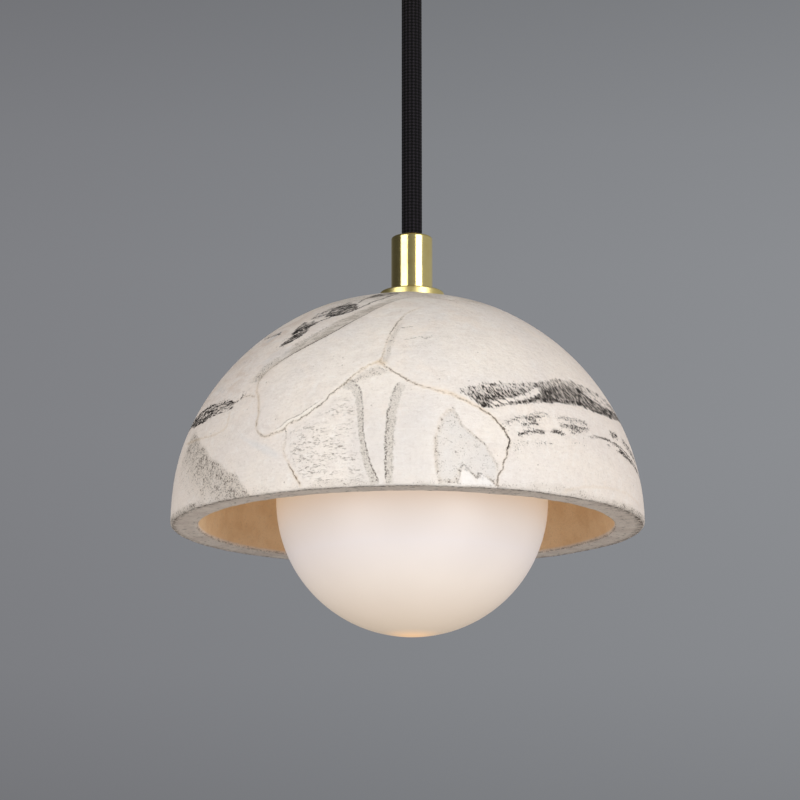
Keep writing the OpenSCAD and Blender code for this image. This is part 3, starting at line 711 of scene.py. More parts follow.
second_seams = seams(
    ([(11.2, 0.8), (12, 3.8), (12.3, 6.4), (13.3, 6.9), (14.6, 4.8), (15.9, 2.8), (16.6, 4.7), (18, 3.8),
      (20.7, 1)], (0.4, 0.4), [(0, 0.42), (0.3, 0.54), (0.7, 0.54), (1, 0.46)], 0),
    ([(-41.9, 57.2), (-39.6, 59.6), (-37.2, 62.2), (-35.5, 64.7), (-33.6, 66.2), (-30.9, 67.6),
      (-28.2, 68.6), (-25.2, 69.1), (-22.3, 70.1), (-19.5, 71.8), (-17, 73.3), (-14.6, 75.2), (-11, 77),
      (-5.8, 79.2), (0, 80.4)],
     (1, 4), [(0, 0.8), (0.2, 0.6), (0.3, 0.95), (0.75, 1.0), (0.9, 0.9), (1, 0.5)], 0),
    ([(-2, 60.1), (0.4, 60.6), (2.8, 61.1)], (0.8, 0.8), [(0, 0.6), (1, 0.5)], 0),
    ([(-28.4, 22.1), (-27.5, 16.5), (-27.6, 12.9), (-26, 8.3), (-25.3, 4.7)], (0.8, 1),
     [(0, 0.35), (0.5, 0.3), (1, 0.4)], 0),
    ([(-22.5, 74.2), (-21.6, 76.9), (-19.8, 78.4), (-15, 80), (-10, 81)], (1, 3),
     [(0, 0.8), (0.5, 0.9), (1, 0.6)], 0),
    ([(11.1, 27.7), (9.7, 26.5), (8.1, 23.8), (7.2, 19.9), (6.5, 15.4), (6.3, 10.9), (6.7, 6.6),
      (7.5, 0.8)],
     (0.8, 1.0), 0.3, [(0, 0.3), (1, 0.1)]),
    ([(41, 22.2), (44.6, 23.3), (49.4, 23.1), (52.8, 23.7), (56.4, 24), (60, 23.7), (64, 23.2),
      (68.9, 21.6), (73, 19.9), (80, 17)],
     (2, 4), [(0, 0.3), (0.25, 0.4), (0.42, 0.66), (0.6, 0.9), (1, 0.9)], 0),
    ([(-34, 76), (-27, 76.6), (-18, 77.6), (-9, 79), (-2, 80.4)], (3, 3), 0.5, 0),
    ([(8, 77.4), (18, 76.6), (28, 75.4), (38, 74.6)], (3, 3), [(0, 0.45), (1, 0.5)], 0.2),
    ([(-14, 73.6), (-8, 75.8), (-2, 76.6), (6, 75.4), (12, 73), (18, 70.4)], (3, 4),
     [(0, 0.35), (1, 0.3)], 0.2),
)


def vein(places, widths, dark_side):
    """A grey band: its place across from -1 to 1, the dark edge at 1, and how strong it is."""
    share, left_by, there = follow(places, (1.5, 0.8))
    across = np.clip(dark_side * left_by / along_it(share, widths), -6, 6)
    return across, there * smooth((3.2 - np.abs(across)) / 1.2) * (0.6 + 0.4 * smooth(share * 2))


vein_one = vein([
    (-16, 38.5), (-13.2, 35.9), (-11.6, 32.3), (-10.9, 27), (-10.5, 21), (-10, 16), (-9.4, 11.1),
    (-8.5, 6.9), (-7.7, 3.6), (-6.9, 0.2)], [(0, 2.0), (0.2, 1.3), (0.5, 0.9), (1, 1.3)], 1)
vein_two = vein([
    (-0.6, 37.3), (-2.1, 33.4), (-3, 27.7), (-3.6, 22), (-3.8, 15.7), (-3.9, 9), (-3.8, 4), (-3.7, 0.2)],
    [(0, 1.5), (0.2, 1.7), (0.7, 1.5), (1, 1.2)], -1)
second_vein = np.abs(vein_two[0]) + 3 * (1 - vein_two[1]) < np.abs(vein_one[0]) + 3 * (1 - vein_one[1])
veins = [np.where(second_vein, b, a) for a, b in zip(vein_one, vein_two)]

# Brushed slip: two long streaks at the right, and scribbled patches at the left and the upper left.
top_streak = within([
    (12.3, 34.6), (15.2, 36.2), (19.3, 37.8), (24.3, 38.9), (29.5, 39.6), (36.2, 41.2), (40.2, 42.9),
    (44, 44.3), (48, 44.8), (53, 45), (59, 44.3), (65, 43.4), (72, 42.2), (77, 40.2), (83, 38.4),
    (90, 37.6), (90, 35.6), (80, 35.6), (73.9, 35.3), (64.4, 33.7), (58.3, 33.4), (53.7, 34),
    (49.4, 34.2), (45.3, 34), (41.6, 33.6), (37.2, 33), (34, 32.2), (30.1, 31.2), (26.4, 30),
    (22.9, 29.1), (18.9, 27.9), (17.2, 29.7), (15.5, 31.8), (13.5, 33.4)], 1.1, 0.55)
fuzzy_above = within([
    (8, 30), (12, 31), (19, 33.4), (23, 34.4), (30.5, 36.3), (38.5, 39.6), (46, 41.6), (53, 42),
    (59, 41.4), (65, 40.6), (72, 39.8), (80, 37.5), (90, 37), (90, 25), (60, 25), (30, 22),
    (8, 22)], 4, 0.55)
tongue_share, tongue_side, tongue_there = follow([
    (20.5, 29.6), (22.1, 30.4), (24.5, 31.6), (27.4, 32.7), (30.5, 34.1), (33.1, 35.8),
    (35.8, 37.8)], (1, 0.4))
tongue = tongue_there * smooth(1.5 - np.abs(tongue_side) / along_it(tongue_share, [
    (0, 0.35), (0.5, 0.5), (0.8, 0.85), (0.95, 0.9), (1, 0.5)]))
dense = 0.90 + 0.25 * smooth(1 - np.abs(half_turn - 38.5) / 3.4) * smooth((40 - up_mm) / 3)
dense += 0.06 * smooth((half_turn - 46) / 12)
wedge = within([
    (54, 40.4), (56, 41.4), (60.7, 42), (64.5, 41.6), (69, 40.4), (74, 39.2), (74, 38.4), (69.5, 38),
    (64.5, 38), (61, 38.2), (57.5, 39)], 1.1)
dense *= (1 - 0.42 * wedge) * (1 - 0.12 * smooth((half_turn - 50) / 5) * smooth((up_mm - 40.5) / 1.5))
top_density = dense * top_streak * (0.74 + 0.26 * fuzzy_above) * (1 - tongue)
rows = np.zeros(len(where))
for places, half, strength in [
    ([(29.5, 27.2), (32, 27.9), (35.3, 28.2), (38, 28.3)], 0.7, 0.66),
    ([(22.6, 21.6), (24.5, 23.4), (26.5, 24.9), (28.4, 26), (30.6, 26.1), (32.9, 26.5),
      (35.5, 27.2)], 0.8, 0.76),
    ([(27.2, 22.4), (30, 23.8), (32.2, 24.3), (34, 24.5)], 1.0, 0.74),
    ([(38, 27.6), (40.4, 27.8), (43.5, 28.2), (47.5, 28.3), (51, 27.8)], 0.9, 0.68),
    ([(38.6, 25.6), (39.6, 25), (41.5, 25), (43.4, 25), (45.5, 25.5), (48, 25.6), (51, 26)], 1.0, 0.8),
    ([(42, 26.6), (44, 26.6), (46, 26.8)], 0.7, 0.66),
    ([(26, 18.9), (28, 20), (29.6, 20.8), (32.1, 21.2), (34.1, 21.5), (35.3, 21.4)], 0.8, 0.9),
    ([(35.3, 21.7), (38, 22.2), (39.8, 21.9), (41.6, 21.7)], 0.85, 1.0),
    ([(41.8, 22.5), (44, 23.4), (45.9, 23.7), (47.6, 23.3)], 0.6, 0.84),
    ([(49, 22.9), (52, 23.5), (54, 24), (57, 23.8), (60.3, 23.2), (63.3, 22.6), (66, 21.8)], 0.45, 0.86),
    ([(56, 21.9), (57.5, 22.2), (59.4, 21.9)], 0.6, 0.8),
    ([(24, 15.2), (29, 16.6), (32.7, 17.3), (37.5, 17.6)], 1.0, 0.48),
    ([(41.5, 19.2), (45.5, 20), (49, 19.8)], 0.9, 0.42),
    ([(23.8, 12.6), (25.9, 13.3), (28, 14)], 0.9, 0.42),
    ([(24.5, 10), (27, 10.6)], 0.7, 0.5),
    ([(59.6, 26.4), (62.6, 27), (66, 27)], 1.5, 0.8),
    ([(67, 26.4), (71, 25), (76, 23), (80, 21)], 2.0, 0.72),
]:
    _, aside, there = follow(places, (2, 2.5))
    rows = np.maximum(rows, strength * there * smooth(1.6 - np.abs(aside) / half))
rows = np.maximum(rows, within([
    (60.8, 21.4), (62.5, 21.6), (64.5, 22.3), (67, 21.6), (70, 20.4), (74, 19), (80, 17), (88, 14.8),
    (88, 13.4), (79, 16), (73, 18), (68.8, 18.9), (66.8, 19), (64.5, 20), (62, 20.6)], 1.2))
right_across, right_down = slanted(45, 36, -64, 8.0)
left_density = within([
    (-92, 35.8), (-79.6, 36.4), (-71.5, 37.9), (-66.1, 38.6), (-60.6, 39), (-55.6, 38.9), (-51.4, 38),
    (-48.9, 36), (-48.6, 33.9), (-50.6, 33.1), (-55.1, 33.2), (-58.8, 32.6), (-62.2, 31.9), (-67.1, 31.8),
    (-74, 32.8), (-92, 33.8)], 1.6, 0.55) * (0.80 + 0.14 * smooth((125 - half_turn) / 9))
left_across, left_down = slanted(-62, 36.5, 6)
upper_density = strongest(
    ([(-33.4, 68.6), (-33.6, 71.8), (-33, 73.9), (-30.6, 75.3), (-27.1, 75.7), (-23.2, 74.8), (-20.2, 72.8),
      (-20, 71.1), (-22.5, 69.7), (-25.2, 68.7), (-28.6, 68)], 1.0, 2.2),
    ([(-40.4, 68.4), (-40.2, 71.6), (-37.6, 73.4), (-35, 75), (-30, 76.4), (-26, 76.2), (-26, 74),
      (-31, 70), (-31.4, 68.2), (-36, 67.8)], 0.66, 2.4, 0.4),
    ([(-42, 62.2), (-42.4, 66), (-41.6, 68), (-38.8, 67.4), (-36.2, 67.4), (-33.4, 66.4), (-34.4, 64.4),
      (-37.6, 63.5), (-39.2, 62.9), (-40.2, 61.6)], 1.0, 1.3, 0.6),
    ([(-42.9, 56.6), (-42.4, 59.4), (-40.6, 61.2), (-38.7, 62.7), (-36.2, 63.7), (-34.4, 62.8),
      (-35.6, 60.7), (-37.4, 59), (-39.6, 57.9), (-41.4, 56.6)], 1.0, 1.3, 0.6),
    ([(-44, 58.4), (-43.4, 61.4), (-41.8, 62.2), (-41.8, 60.4), (-42.6, 58.6)], 0.42, 1.3, 0.6),
    ([(-46, 55), (-44.4, 57.6), (-42.6, 56.6), (-43.6, 54.6)], 0.32, 1.3, 0.6),
    ([(-21, 78.4), (-19.2, 80.6), (-15.4, 82), (-9, 82.4), (-4, 81.6), (-5, 80.2), (-8.7, 79.4),
      (-12.8, 78.5), (-15.6, 77.7), (-18.7, 77.7)], 0.9, 1.3, 0.6),
    ([(-62, 64.5), (-59, 65.7), (-55, 65.4), (-51, 65.4), (-48.6, 64.6), (-50, 63.6), (-54, 63.8),
      (-59, 63.7)], 0.7, 1.3, 0.6),
)
upper_density *= 0.96 + 0.2 * waves(where, 5, 41)
upper_across, upper_down = slanted(-33, 69, 34)
in_rows = rows > top_density
stroke_density = np.maximum(top_density, rows)
scribbled = np.maximum(left_density, upper_density) > stroke_density
stroke_across = np.where(in_rows, 1.1 * right_across, right_across)
stroke_down = np.where(in_rows, 2.4 * right_down, right_down)
for density, across_it, down_it in [
        (left_density, left_across, left_down), (upper_density, upper_across, upper_down)]:
    stroke_across = np.where(density > stroke_density, across_it, stroke_across)
    stroke_down = np.where(density > stroke_density, down_it, stroke_down)
    stroke_density = np.maximum(stroke_density, density)

# Speckled, warm, bluish and scratched places.
blue_outline = [
    (11.2, 27.4), (8.4, 23.5), (6.7, 15.4), (6.8, 6), (7.6, 1), (11, 1.4), (12.3, 6.2), (14.6, 4.6),
    (16, 2.8), (18, 3.8), (20.4, 1.6), (20.8, 8), (18, 15.2), (13, 21)]
blue_area = patch(blue_outline)
_, slant_side, slant_there = follow([
    (-72, 33), (-64.5, 27.4), (-58.2, 22.1), (-54.4, 17.9), (-47.5, 11.8), (-42.6, 7), (-39.9, 3.7),
    (-37.8, 0)], (11, 0.4))
slant_side += 1.3 * waves(where, 11, 31)
below_slant = slant_there * smooth(0.5 - slant_side / 2.2) * along_it(
    -slant_side, [(0, 0.85), (3, 1.0), (8, 0.9), (13, 0.62), (18, 0.36), (24, 0.0)])
above_head = head_there * smooth((head_share - 0.30) / 0.12) * smooth((1 - head_share) / 0.25)
band_width = along_it(head_share, [(0.3, 3.0), (0.42, 6.3), (0.6, 6.0), (0.8, 3.8), (1, 2.4)])
head_band = above_head * smooth(head_side / 0.5 + 0.5) * smooth((band_width - head_side) / 0.9)
head_far = above_head * smooth(1 - np.abs(head_side - band_width + 0.6) / 0.5)
beside_side = side_there * smooth((-side_side - 0.1) / 0.5) * smooth((3.4 + side_side) / 1.6)
speckle = np.maximum.reduce([
    below_slant * (0.84 + 0.16 * waves(where, 6, 33)),
    0.42 * head_band,
    0.6 * beside_side * (1 - 0.9 * smooth((side_share - 0.42) / 0.25)),
    smooth((3.0 - up_mm) / 2.2) * smooth((np.abs(off_front) - 35) / 30) * (0.8 + 0.3 * waves(where, 7, 29)),
    0.55 * smooth((up_mm - 74) / 4) * smooth(0.7 + 0.6 * waves(where, 20, 23)),
    0.5 * smooth((3.4 - up_mm) / 2.4) * smooth(0.6 + waves(where, 17, 21)),
    0.85 * smooth(1 - np.abs(blue_area + 0.1) / 0.9),
    0.5 * smooth(1 - np.abs(blue_area - 0.7) / 1.6) * smooth((13 - half_turn) / 1.5),
    strongest(
        (blue_outline, 0.38, 0.8),
        ([(-46.5, 43), (-42.4, 42), (-40.8, 46.6), (-37.4, 50), (-40, 52.4), (-45, 49)], 0.62, 1.8),
        ([(26, 0), (30, 3), (38, 3.4), (46, 2.6), (48, 0)], 0.5, 1.6),
        ([(-25, 0), (-20, 2.6), (-12, 2.4), (-6, 1), (-8, 0)], 0.5, 1.4),
        ([(-16, 37), (-13, 40.6), (-10, 43), (-7.4, 44.4), (-4, 41.5), (-7, 40), (-11, 38.5), (-14, 36.2)],
         0.56, 1.4),
        ([(-3, 52), (6, 53.5), (10, 55.5), (6, 51.5), (0, 50.5)], 0.30, 1.5),
        ([(22, 15), (27, 18.4), (34, 18.6), (40, 17), (33, 14), (25, 9), (23, 5)], 0.20, 3.0),
        ([(8, 56), (14, 57.6), (15, 56.2), (9, 55)], 0.34, 1.0),
        ([(-64, 52), (-57, 58), (-50, 62), (-47, 61), (-53, 55), (-60, 50)], 0.26, 3.0),
    ),
])
warm_halo = np.maximum(
    0.26 * foot_there * smooth((foot_share - 0.55) / 0.08) * smooth((0.8 - foot_share) / 0.1)
    * np.exp(-((foot_side - 0.4) / 0.8) ** 2),
    0.3 * np.exp(-(patch([(-7.5, 45), (-6.5, 46.4), (-5.6, 45)]) / 0.9) ** 2) * (from_axis > 60))
bluish = strongest(
    (blue_outline, 0.4, 1.2, 0.3),
    ([(-44, 22.6), (-39.2, 20), (-34.4, 17.2), (-30.9, 13.8), (-30.6, 11.4), (-34.1, 13.3), (-39, 17.4)],
     0.42, 1.8, 0.4),
    ([(-55, 62), (-53, 65.5), (-50, 66.5), (-50.5, 63.5), (-53, 61)], 0.7, 1.8, 0.4),
    ([(-43, 46), (-46, 50), (-44, 55), (-38, 56.5), (-36, 53), (-40, 49)], 0.22, 1.8, 0.4),
)
scratched = within([
    (-27.8, 21), (-24, 25), (-19.5, 29.6), (-15.5, 34), (-13, 32), (-11.6, 25), (-11.3, 15), (-10.4, 7),
    (-9, 1), (-22, 1), (-26, 6), (-27.6, 13)], 3.0, 0.35) * (0.68 + 0.32 * smooth((24 - up_mm) / 10))
scratched = np.maximum(scratched, 0.07)
# Darker, warmer and greyer mottling towards the upper left and over the crown.
upper_left_mottle = np.maximum(
    smooth((146 - half_turn) / 16) * smooth((half_turn - 95) / 10) * smooth((up_mm - 24) / 26),
    0.4 * smooth((up_mm - 50) / 20))
flank = 0.5 - 0.5 * np.cos(np.radians(2 * bearing))
# Painted light: the lower front and the lower front right, which the softboxes light most, are tinted a
# little greyer and less warm, the look that strong light gives the clay.
painted_lit_front_greying = smooth((12 - np.abs(off_front + 3.4)) / 5) * smooth((39 - up_mm) / 17)
painted_lit_front_greying += 0.3 * smooth((off_front - 14) / 6) * smooth((62 - off_front) / 15) * smooth((30 - up_mm) / 12)
# Where the lower slab's lip shows: it gets a thin dark upper line and a painted highlight along its raised
# edge.
lip = foot_there * smooth((foot_share - 0.06) / 0.05) * smooth((0.25 - foot_share) / 0.05)
whiter = within([(12.4, 4.4), (13.2, 6.6), (15.8, 2), (17.2, 4.4), (20.5, 0.6), (12, 0.4)], 0.8, 0.4)

# The laps stand up to half a millimetre, and the crown is scraped a little flatter than a ball.
sink = 0.16 + 0.16 * waves(where, 52, 3)
sink += 0.36 * foot_there * smooth(-foot_side / 0.9 + 0.35) * np.exp(-np.abs(foot_side) / 13)
sink += 0.30 * head_there * smooth(head_side / 0.9 + 0.3) * np.exp(-np.abs(head_side) / 11) \
    * (1 - 0.5 * smooth((head_share - 0.6) / 0.4))
sink += 0.10 * first_seams[1] * np.exp(-(first_seams[0] / 0.9) ** 2)
sink += 0.22 * smooth(1.0 - np.abs(side_side + 1.1) / 1.2) * side_there
crown_dip = 0.62 * smooth((from_axis - 12.5) / 6) * (1 - smooth((from_axis - 20) / 20))
sink += (0.52 - 0.3 * np.sin(np.radians(bearing))) * smooth(1 - up_mm / 30)
sink = (sink * smooth((from_axis - 14.3) / 8) + crown_dip) * (ring_of[outside] > last_seat)
body[outside] *= (1 - sink / bowl_ball_r)[:, None]
rim_wave = 0.5 + 0.3 * waves(body, 34, 11, octaves=2) + 0.2 * waves(body, 9, 12, octaves=2)
near_rim = smooth(1 - body[:, 2] / 3.0)
round_rim = np.arctan2(body[:, 0], -body[:, 1])
rim_hang = 0.5 * rim_wave + 0.1 * waves(body, 3.4, 13, octaves=1) - 0.32 - 0.28 * np.cos(round_rim)
body[:, 2] += rim_hang * near_rim * (ring_of > last_outer - 4)
inner_side = (ring_of > rim_first + 6) & (ring_of <= inner_first + inner_rings + 1)
spread = 1 + 0.5 * (0.5 + 0.5 * waves(body, 40, 5)) / inner_r
spread = 1 + (spread - 1) * smooth(np.hypot(body[:, 0], body[:, 1]) / 12 - 1.4)
body = np.where(inner_side[:, None], body * np.stack([spread, spread, np.ones(len(spread))], -1), body)

points = (body + np.array([bowl_x, 0, rim_z])) * MM
count = len(profile)
faces = []
for i in range(count):
    for k in range(sectors):
        a, b = i * sectors + k, i * sectors + (k + 1) % sectors
        c, d = (i + 1) % count * sectors + (k + 1) % sectors, (i + 1) % count * sectors + k
        faces.append((a, d, c, b))

clay_cream = tone(237, 228, 217)
clay_cool = tone(230, 222, 214)
clay_warm = tone(238, 226, 213)
slip_black = tone(40, 33, 28)
slip_grey = tone(114, 104, 95)


def lone_mark(near, name):
    """The one number that a piece's points hold under a name."""
    return put(near, "Attribute", attribute_name=name)["Fac"]


def coats(colour, *layers):
    """Lays colours over a ground one after another, each by its share."""
    for share, over in layers:
        colour = tint(share, colour, over)
    return colour


marbled, main = new_finish("marbled_clay", Roughness=0.66, Specular_IOR_Level=0.3)
on_upper_left_mottle, on_band, on_band_end = mark(main, "upper_left_mottle_and_band_places")
on_speckle, on_halo, on_bluish = mark(main, "soft_places")
on_scratched, on_lip, on_whiter = mark(main, "other_places")
vein_off, on_vein, on_scribble = mark(main, "veins")
brush_across, brush_down, on_brush = mark(main, "brushed_slip")

place = place_mm(main)
broad = grain(place, 24.0, 3.0, 0.55)
patchy = grain(put(main, "VectorMath", {0: place, 1: (7.3, 1.9, 4.1)}), 13.0, 3.0, 0.6)
drift = grain(place_mm(main, (2.6, 2.6, 1.0)), 5.5, 4.0, 0.6, 0.5)
along_band = grain(place_mm(main, (6.0, 1.0, 3.0)), 0.8, 3.0, 0.6)
wiped = grain(place_mm(main, (5.0, 5.0, 1.0)), 0.8, 4.0, 0.65, 0.3)
mottle = grain(place, 3.4, 5.0, 0.72)
fine = grain(place, 1.1, 4.0, 0.75)
pores = put(main, "TexVoronoi", {"Vector": place, "Scale": 0.3, "Randomness": 1.0})
pore = ease(pores["Distance"], 0.05, 0.11, 1.0, 0.0) * ease(split(pores["Color"])[0], 0.66, 0.7)
colour = coats(
    clay_cream,
    (ease(broad, 0.36, 0.64), clay_cool),
    (ease(patchy, 0.5, 0.75, 0.0, 0.75), clay_warm),
    (lone_mark(main, "flank") * 0.36, tone(240, 218, 202)),
    (ease(drift, 0.47, 0.64) * on_upper_left_mottle * 0.75, tone(221, 203, 187)),
    (ease(drift, 0.44, 0.30) * on_upper_left_mottle * 0.7, tone(214, 211, 207)),
    (ease(along_band, 0.44, 0.58, 0.3, 1.0) * on_band, tone(180, 170, 158)),
    (ease(along_band, 0.44, 0.54, 0.1, 0.6) * on_band_end, tone(150, 142, 132)),
    (ease(wiped, 0.52, 0.66, 0.0, 0.2), tone(209, 199, 190)),
    (ease(wiped, 0.34, 0.46, 0.16, 0.0), tone(246, 242, 237)),
    (ease(mottle, 0.52, 0.68, 0.0, 0.42), tone(220, 209, 199)),
    (ease(mottle, 0.34, 0.48, 0.28, 0.0), tone(243, 239, 233)),
    (ease(fine, 0.54, 0.70, 0.0, 0.4), tone(202, 190, 179)),
    (ease(fine, 0.30, 0.46, 0.3, 0.0), tone(246, 241, 233)),
    (pore * 0.5, tone(150, 138, 126)),
    # Painted light: greyer where the front is most strongly lit.
    (lone_mark(main, "painted_lit_front_greying") * 0.3, tone(196, 191, 189)),
    (on_bluish * ease(patchy, 0.3, 0.6, 0.6, 1.0), tone(213, 213, 213)),
    (on_halo, tone(226, 197, 152)),
    (ease(on_speckle, 0.1, 0.9, 0.0, 0.62), tone(201, 190, 177)),
)

dust = grain(place, 0.6, 4.0, 0.8)
dots = grain(place, 0.7, 3.0, 0.7)
level = (grain(place, 2.2, 3.0, 0.6) - 0.5) * 0.34 + 0.64 - on_speckle * 0.16
speck = ease(dust - level, -0.01, 0.08) * ease(on_speckle, 0.02, 0.2)
speck_tone = tint(ease(on_speckle, 0.4, 1.0), tone(118, 105, 92), tone(74, 64, 54))
scratch = ease(grain(place_mm(main, (3.0, 3.0, 1.0)), 0.62, 3.0, 0.7, 0.7), 0.54, 0.63)
scratch = scratch * ease(grain(place, 5.0, 3.0), 0.3, 0.6, 0.15, 1.0) * on_scratched
waver = grain(place, 2.4, 3.0, 0.6) - 0.5
vein_off = vein_off + waver * 1.5
vein_tone = tint(ease(dust, 0.47, 0.62, 0.0, 0.85), tone(211, 203, 193), tone(128, 119, 109))
vein_edge = ease(abs(vein_off - 0.84), 0.04, 0.36, 1.0, 0.0) * on_vein * ease(dots, 0.45, 0.56, 0.0, 0.95)
drawn_out = put(main, "CombineXYZ", {0: brush_across, 1: brush_down * 0.24})
bristle = grain(drawn_out, 0.5, 2.0, 0.7, 0.3)
scribble = grain(drawn_out, 1.1, 3.0, 0.75, 1.1)
stroke = put(main, "Mix", {0: on_scribble, 2: bristle, 3: scribble}, data_type="FLOAT")
slip_level = 0.61 - on_brush * 0.275 + grain(drawn_out, 2.4, 2.0, 0.6) * 0.19
slip = ease(stroke - slip_level, -0.01, 0.06) * ease(on_brush, 0.02, 0.16)
veil = ease(on_brush, 0.5, 0.95, 0.0, 0.62) * ease(on_scribble, 0.0, 1.0, 1.0, 0.4)
ink = tint(ease(on_brush, 0.25, 0.75), slip_grey, slip_black)
colour = coats(
    colour,
    (speck * ease(on_speckle, 0.1, 0.8, 0.5, 0.9), speck_tone),
    (scratch * 0.7, tone(130, 119, 107)),
    (on_whiter * 0.6, tone(240, 236, 232)),
    (ease(abs(vein_off), 0.7, 1.35, 1.0, 0.0) * on_vein * 0.9, vein_tone),
    (vein_edge, tone(84, 75, 66)),
    (veil, tone(170, 160, 150)),
    (slip, tint(ease(dots, 0.45, 0.7, 0.0, 0.35), ink, tone(92, 89, 87))),
)
swing = grain(place, 2.6, 6.0, 0.85) - 0.5


def draw_seam(colour, name, half_mm, wander_mm):
    """Draws a seam: its warm bleed, then its dark line, broken where it is faint. Gives its groove too."""
    left_by, dark, warm = mark(colour, name)
    off = abs(left_by + swing * wander_mm) / ease(dark, 0.86, 1.0, 1.0, 1.35)
    bleed = ease(off, half_mm, half_mm * 5.5, 1.0, 0.0) * warm
    broken = ease(dots + dark * 0.36, 0.60, 0.78)
    core = ease(off, half_mm * 0.55, half_mm * 1.7, 1.0, 0.0) * broken * ease(dark, 0.0, 0.9)
    line_tone = tint(warm, tone(94, 85, 75), tone(125, 101, 77))
    line_tone = tint(ease(dark, 0.8, 1.0), line_tone, tone(50, 35, 23))
    return coats(colour, (bleed * 0.42, tone(214, 188, 152)), (core, line_tone)), core


colour, first_groove = draw_seam(colour, "first_seams", 0.16, 3.2)
colour, second_groove = draw_seam(colour, "second_seams", 0.18, 4.2)
colour, head_groove = draw_seam(colour, "slab_head", 0.19, 1.7)
foot_off = mark(main, "slab_foot")[0]
lip_off = foot_off + waver * 1.1
upper_lip = ease(abs(lip_off - 1.6), 0.08, 0.3, 1.0, 0.0) * on_lip * ease(dots, 0.42, 0.58, 0.15, 0.8)
# A lighter cream stripe along the lip is a painted highlight on its raised edge; above it runs the lip's
# thin dark upper line.
colour = coats(
    colour,
    (ease(abs(foot_off - 0.8), 0.4, 0.8, 1.0, 0.0) * on_lip * 0.4, tone(246, 240, 228)),
    (upper_lip, tone(128, 116, 100)),
)
colour, dents = draw_seam(colour, "slab_foot", 0.17, 3.4)
wire(main, Base_Color=colour, Roughness=ease(fine, 0.3, 0.7, 0.56, 0.74))
lap = ease(lip_off, -0.35, 0.3) * ease(foot_off, 0.0, 7.5, 1.0, 0.0) * lone_mark(main, "slab_lap")
for groove in (head_groove, first_groove, second_groove, slip * 0.45, scratch * 0.6):
    dents = dents.step("MAXIMUM", groove)
for height, depth_mm, strength in [
    (broad, 0.9, 0.7), (mottle, 0.5, 0.9), (wiped, 0.11, 0.8), (fine + pore * -0.6, 0.22, 0.9),
    (lap, 0.3, 0.8), (1.0 - dents, 0.22, 0.85),
]:
    raise_surface(main, height, depth_mm, strength)

bare, main = new_finish("bare_clay_and_painted_lamplight", Roughness=0.8, Specular_IOR_Level=0.25)
place = place_mm(main)
on_rim = lone_mark(main, "rim_share")
cloud = grain(place, 9.0, 4.0, 0.6)
clouded = ease(cloud, 0.35, 0.65)
fine = grain(place, 0.9, 4.0, 0.7)
dark_specks = ease(grain(scaled(place, (0.35, 0.35, 1.0)), 0.7, 3.0, 0.65), 0.56, 0.68)
edge_break = ease(grain(place, 1.4, 5.0, 0.75), 0.44, 0.55)
# The ground colour, tan, is painted warm lamplight on the cream clay inside the shade; the flat rim is laid
# over it in the clay's own cream.
colour = coats(
    tint(clouded, tone(243, 217, 180), tone(234, 204, 164)),
    (on_rim, tint(clouded, tone(241, 227, 213), tone(227, 211, 197))),
    (dark_specks * on_rim * 0.55, tone(116, 102, 86)),
    (lone_mark(main, "rim_edge") * edge_break * 0.92, tone(80, 64, 50)),
    (ease(fine, 0.5, 0.75, 0.0, 0.3), tone(176, 160, 138)),
)
wire(main, Base_Color=colour)
raise_surface(main, cloud, 0.7, 0.6)
raise_surface(main, fine, 0.25, 0.8)

shade = piece_from("stoneware_shade", points, faces, [marbled, bare])
on_bare = np.repeat(np.arange(count) >= rim_first - 1, sectors)
shade.data.polygons.foreach_set("material_index", on_bare.astype(np.int32))
flat_rim = (ring_of >= rim_first - 1) & (ring_of <= inner_first)
rim_edges = np.clip(1.3 - np.abs(ring_of - rim_first) / 2.0, 0, 1)
rim_edges = np.maximum(rim_edges, 0.7 * (ring_of == inner_first - 1))


def marks_on(name, *parts):
    """Stores one number or three for each point of the shade, or only for the points of its outside."""
    kind = "FLOAT" if len(parts) == 1 else "FLOAT_VECTOR"
    table = np.zeros((len(body), len(parts)), np.float32)
    for column, part in enumerate(parts):
        table[outside if len(part) == outside.sum() else slice(None), column] = part
    attribute = shade.data.attributes.new(name, kind, "POINT")
    attribute.data.foreach_set("value" if len(parts) == 1 else "vector", table.ravel())


marks_on("slab_foot", np.clip(foot_side, -seam_reach, seam_reach), foot_dark, foot_warm)
marks_on("slab_head", np.clip(head_side, -seam_reach, seam_reach), head_dark, head_warm)
marks_on("first_seams", *first_seams)
marks_on("second_seams", *second_seams)
marks_on("veins", veins[0], veins[1], scribbled.astype(float))
marks_on("brushed_slip", stroke_across, stroke_down, stroke_density)
marks_on("soft_places", speckle, warm_halo, bluish)
marks_on("other_places", scratched, lip, whiter)
marks_on("upper_left_mottle_and_band_places", upper_left_mottle, head_band, head_far)
marks_on("slab_lap", foot_there)
marks_on("flank", flank)
marks_on("painted_lit_front_greying", painted_lit_front_greying)
marks_on("rim_share", flat_rim.astype(float))
marks_on("rim_edge", rim_edges)
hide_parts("shade")
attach(shade, "pendant")

# Gasket, washer and hollow rod
# A rubber gasket and a steel washer clamp the clay from inside, on a hollow threaded rod through the crown.
# The cores run down the rod's bore.
dress(black_rubber, "bottom_gasket")
dress(bright_steel, "steel_washer")
dress(polished_brass, "hollow_rod")

# Gallery, lampholder bracket, earth tag and nut
# The gallery is a turned brass cup that the globe's neck screws into. The bent steel bracket lies in it.
# The earth tag lies under the nut that clamps them all to the rod.
dress(polished_brass, "gallery")
dress(bright_steel, "lampholder_bracket", "earth_tag", "gallery_nut")

# Lampholder with its contacts and screws
# A pressed steatite body for a lamp with two looped pins, held by two steel screws to the bracket.
# Its spring contacts are brass.
steatite = moulded_finish("steatite", tone(236, 232, 222), tone(224, 219, 207), 0.45, 3.0)
dress(steatite, "lampholder", "lamp_base")
dress(polished_brass, "lampholder_contacts")
dress(bright_steel, "lampholder_screws")
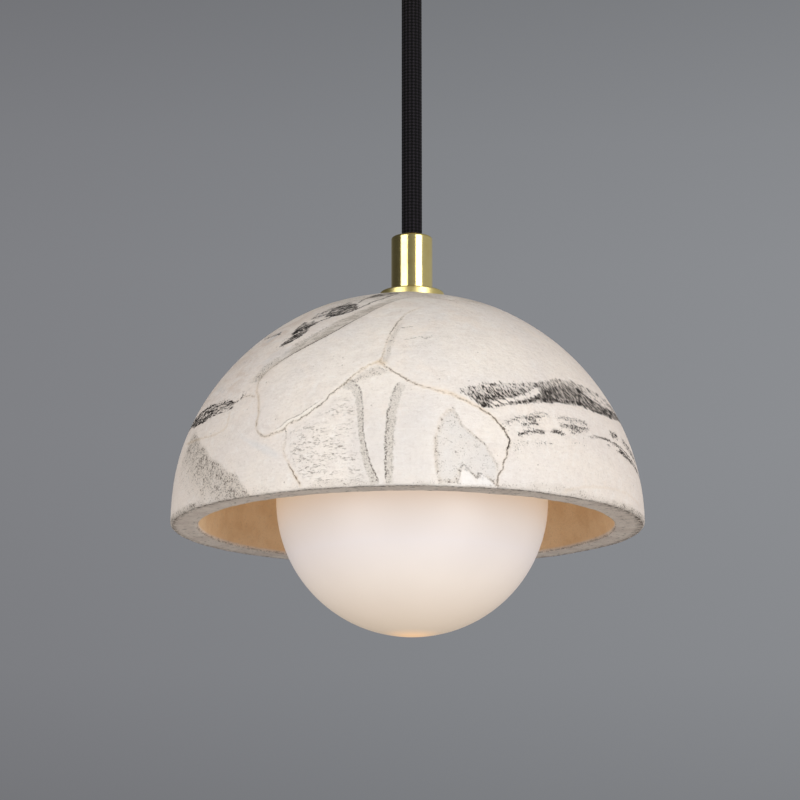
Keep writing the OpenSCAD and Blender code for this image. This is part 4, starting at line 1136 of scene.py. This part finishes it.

# Globe and its seal
# A blown ball of opal glass with a short threaded neck, matt from acid. Its glow from the lamp inside is
# painted on as emission, with a painted bright warm spot at the bottom.
# A clear silicone ring seals the neck's rim in the gallery.
silicone = moulded_finish(
    "silicone", tone(222, 222, 218), tone(210, 210, 206), 0.5, 2.0, Subsurface_Weight=0.2)
dress(silicone, "globe_seal")
globe_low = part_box("globe")[0].z / MM
glow_span = 60.0
opal, main = new_finish(
    "lit_opal_glass", Roughness=0.5, Specular_IOR_Level=0.0, Emission_Strength=1.0,
    Coat_Weight=1.0, Coat_Roughness=0.42, Coat_IOR=1.5, Coat_Tint=(1.0, 0.955, 0.9, 1.0))
place = place_mm(main)
rise = split(place)[2] - globe_low
haze = ease(grain(place, 30.0, 2.0), 0.35, 0.65)
# Painted lamplight: the emission colour changes with height, warm at the bottom, whiter a little above it,
# and warm again from about the middle to the top.
painted_glow = ramp(rise / glow_span, [
    (0.0, tone(172, 153, 128)), (0.13, tone(172, 156, 138)), (0.27, tone(174, 162, 152)),
    (0.47, tone(171, 165, 168)), (0.60, tone(171, 162, 158)), (0.72, tone(172, 156, 143)),
    (0.84, tone(172, 151, 127))])
# A painted bright warm spot on the axis at the bottom of the globe, under the lamp.
painted_lamp_spot = ease(axis_distance(place), 1.0, 12.0, 1.0, 0.0) * ease(rise, 1.0, 8.0, 1.0, 0.0)
skin = grain(place, 0.5, 3.0)
wire(main, Base_Color=tint(haze, tone(190, 189, 190), tone(186, 185, 186)),
     Emission_Color=tint(painted_lamp_spot * 0.75, painted_glow, tone(250, 196, 130)), Roughness=ease(skin, 0.2, 0.8, 0.38, 0.5))
raise_surface(main, skin, 0.015)
dress(opal, "globe")

# Lamp
# A small lamp on two steel loops, with a frosted glass sleeve over a stem that carries its lighting chips.
frosted, main = new_finish("frosted_sleeve", Roughness=0.5, Emission_Strength=1.5)
cloud = grain(place_mm(main), 4.0)
wire(main, Base_Color=tint(cloud, tone(244, 240, 232), tone(238, 233, 222)),
     Emission_Color=tint(cloud, tone(255, 226, 184), tone(255, 220, 176)))
raise_surface(main, grain(place_mm(main), 0.3), 0.01)
chips, main = new_finish("chip_stem", Roughness=0.45)
cell = put(main, "TexChecker", {"Vector": place_mm(main), "Scale": 0.45})["Fac"]
wire(main, Base_Color=tint(cell, tone(238, 236, 228), tone(244, 214, 96)))
dress(frosted, "lamp_envelope")
dress(bright_steel, "lamp_pins")
dress(chips, "led_column")
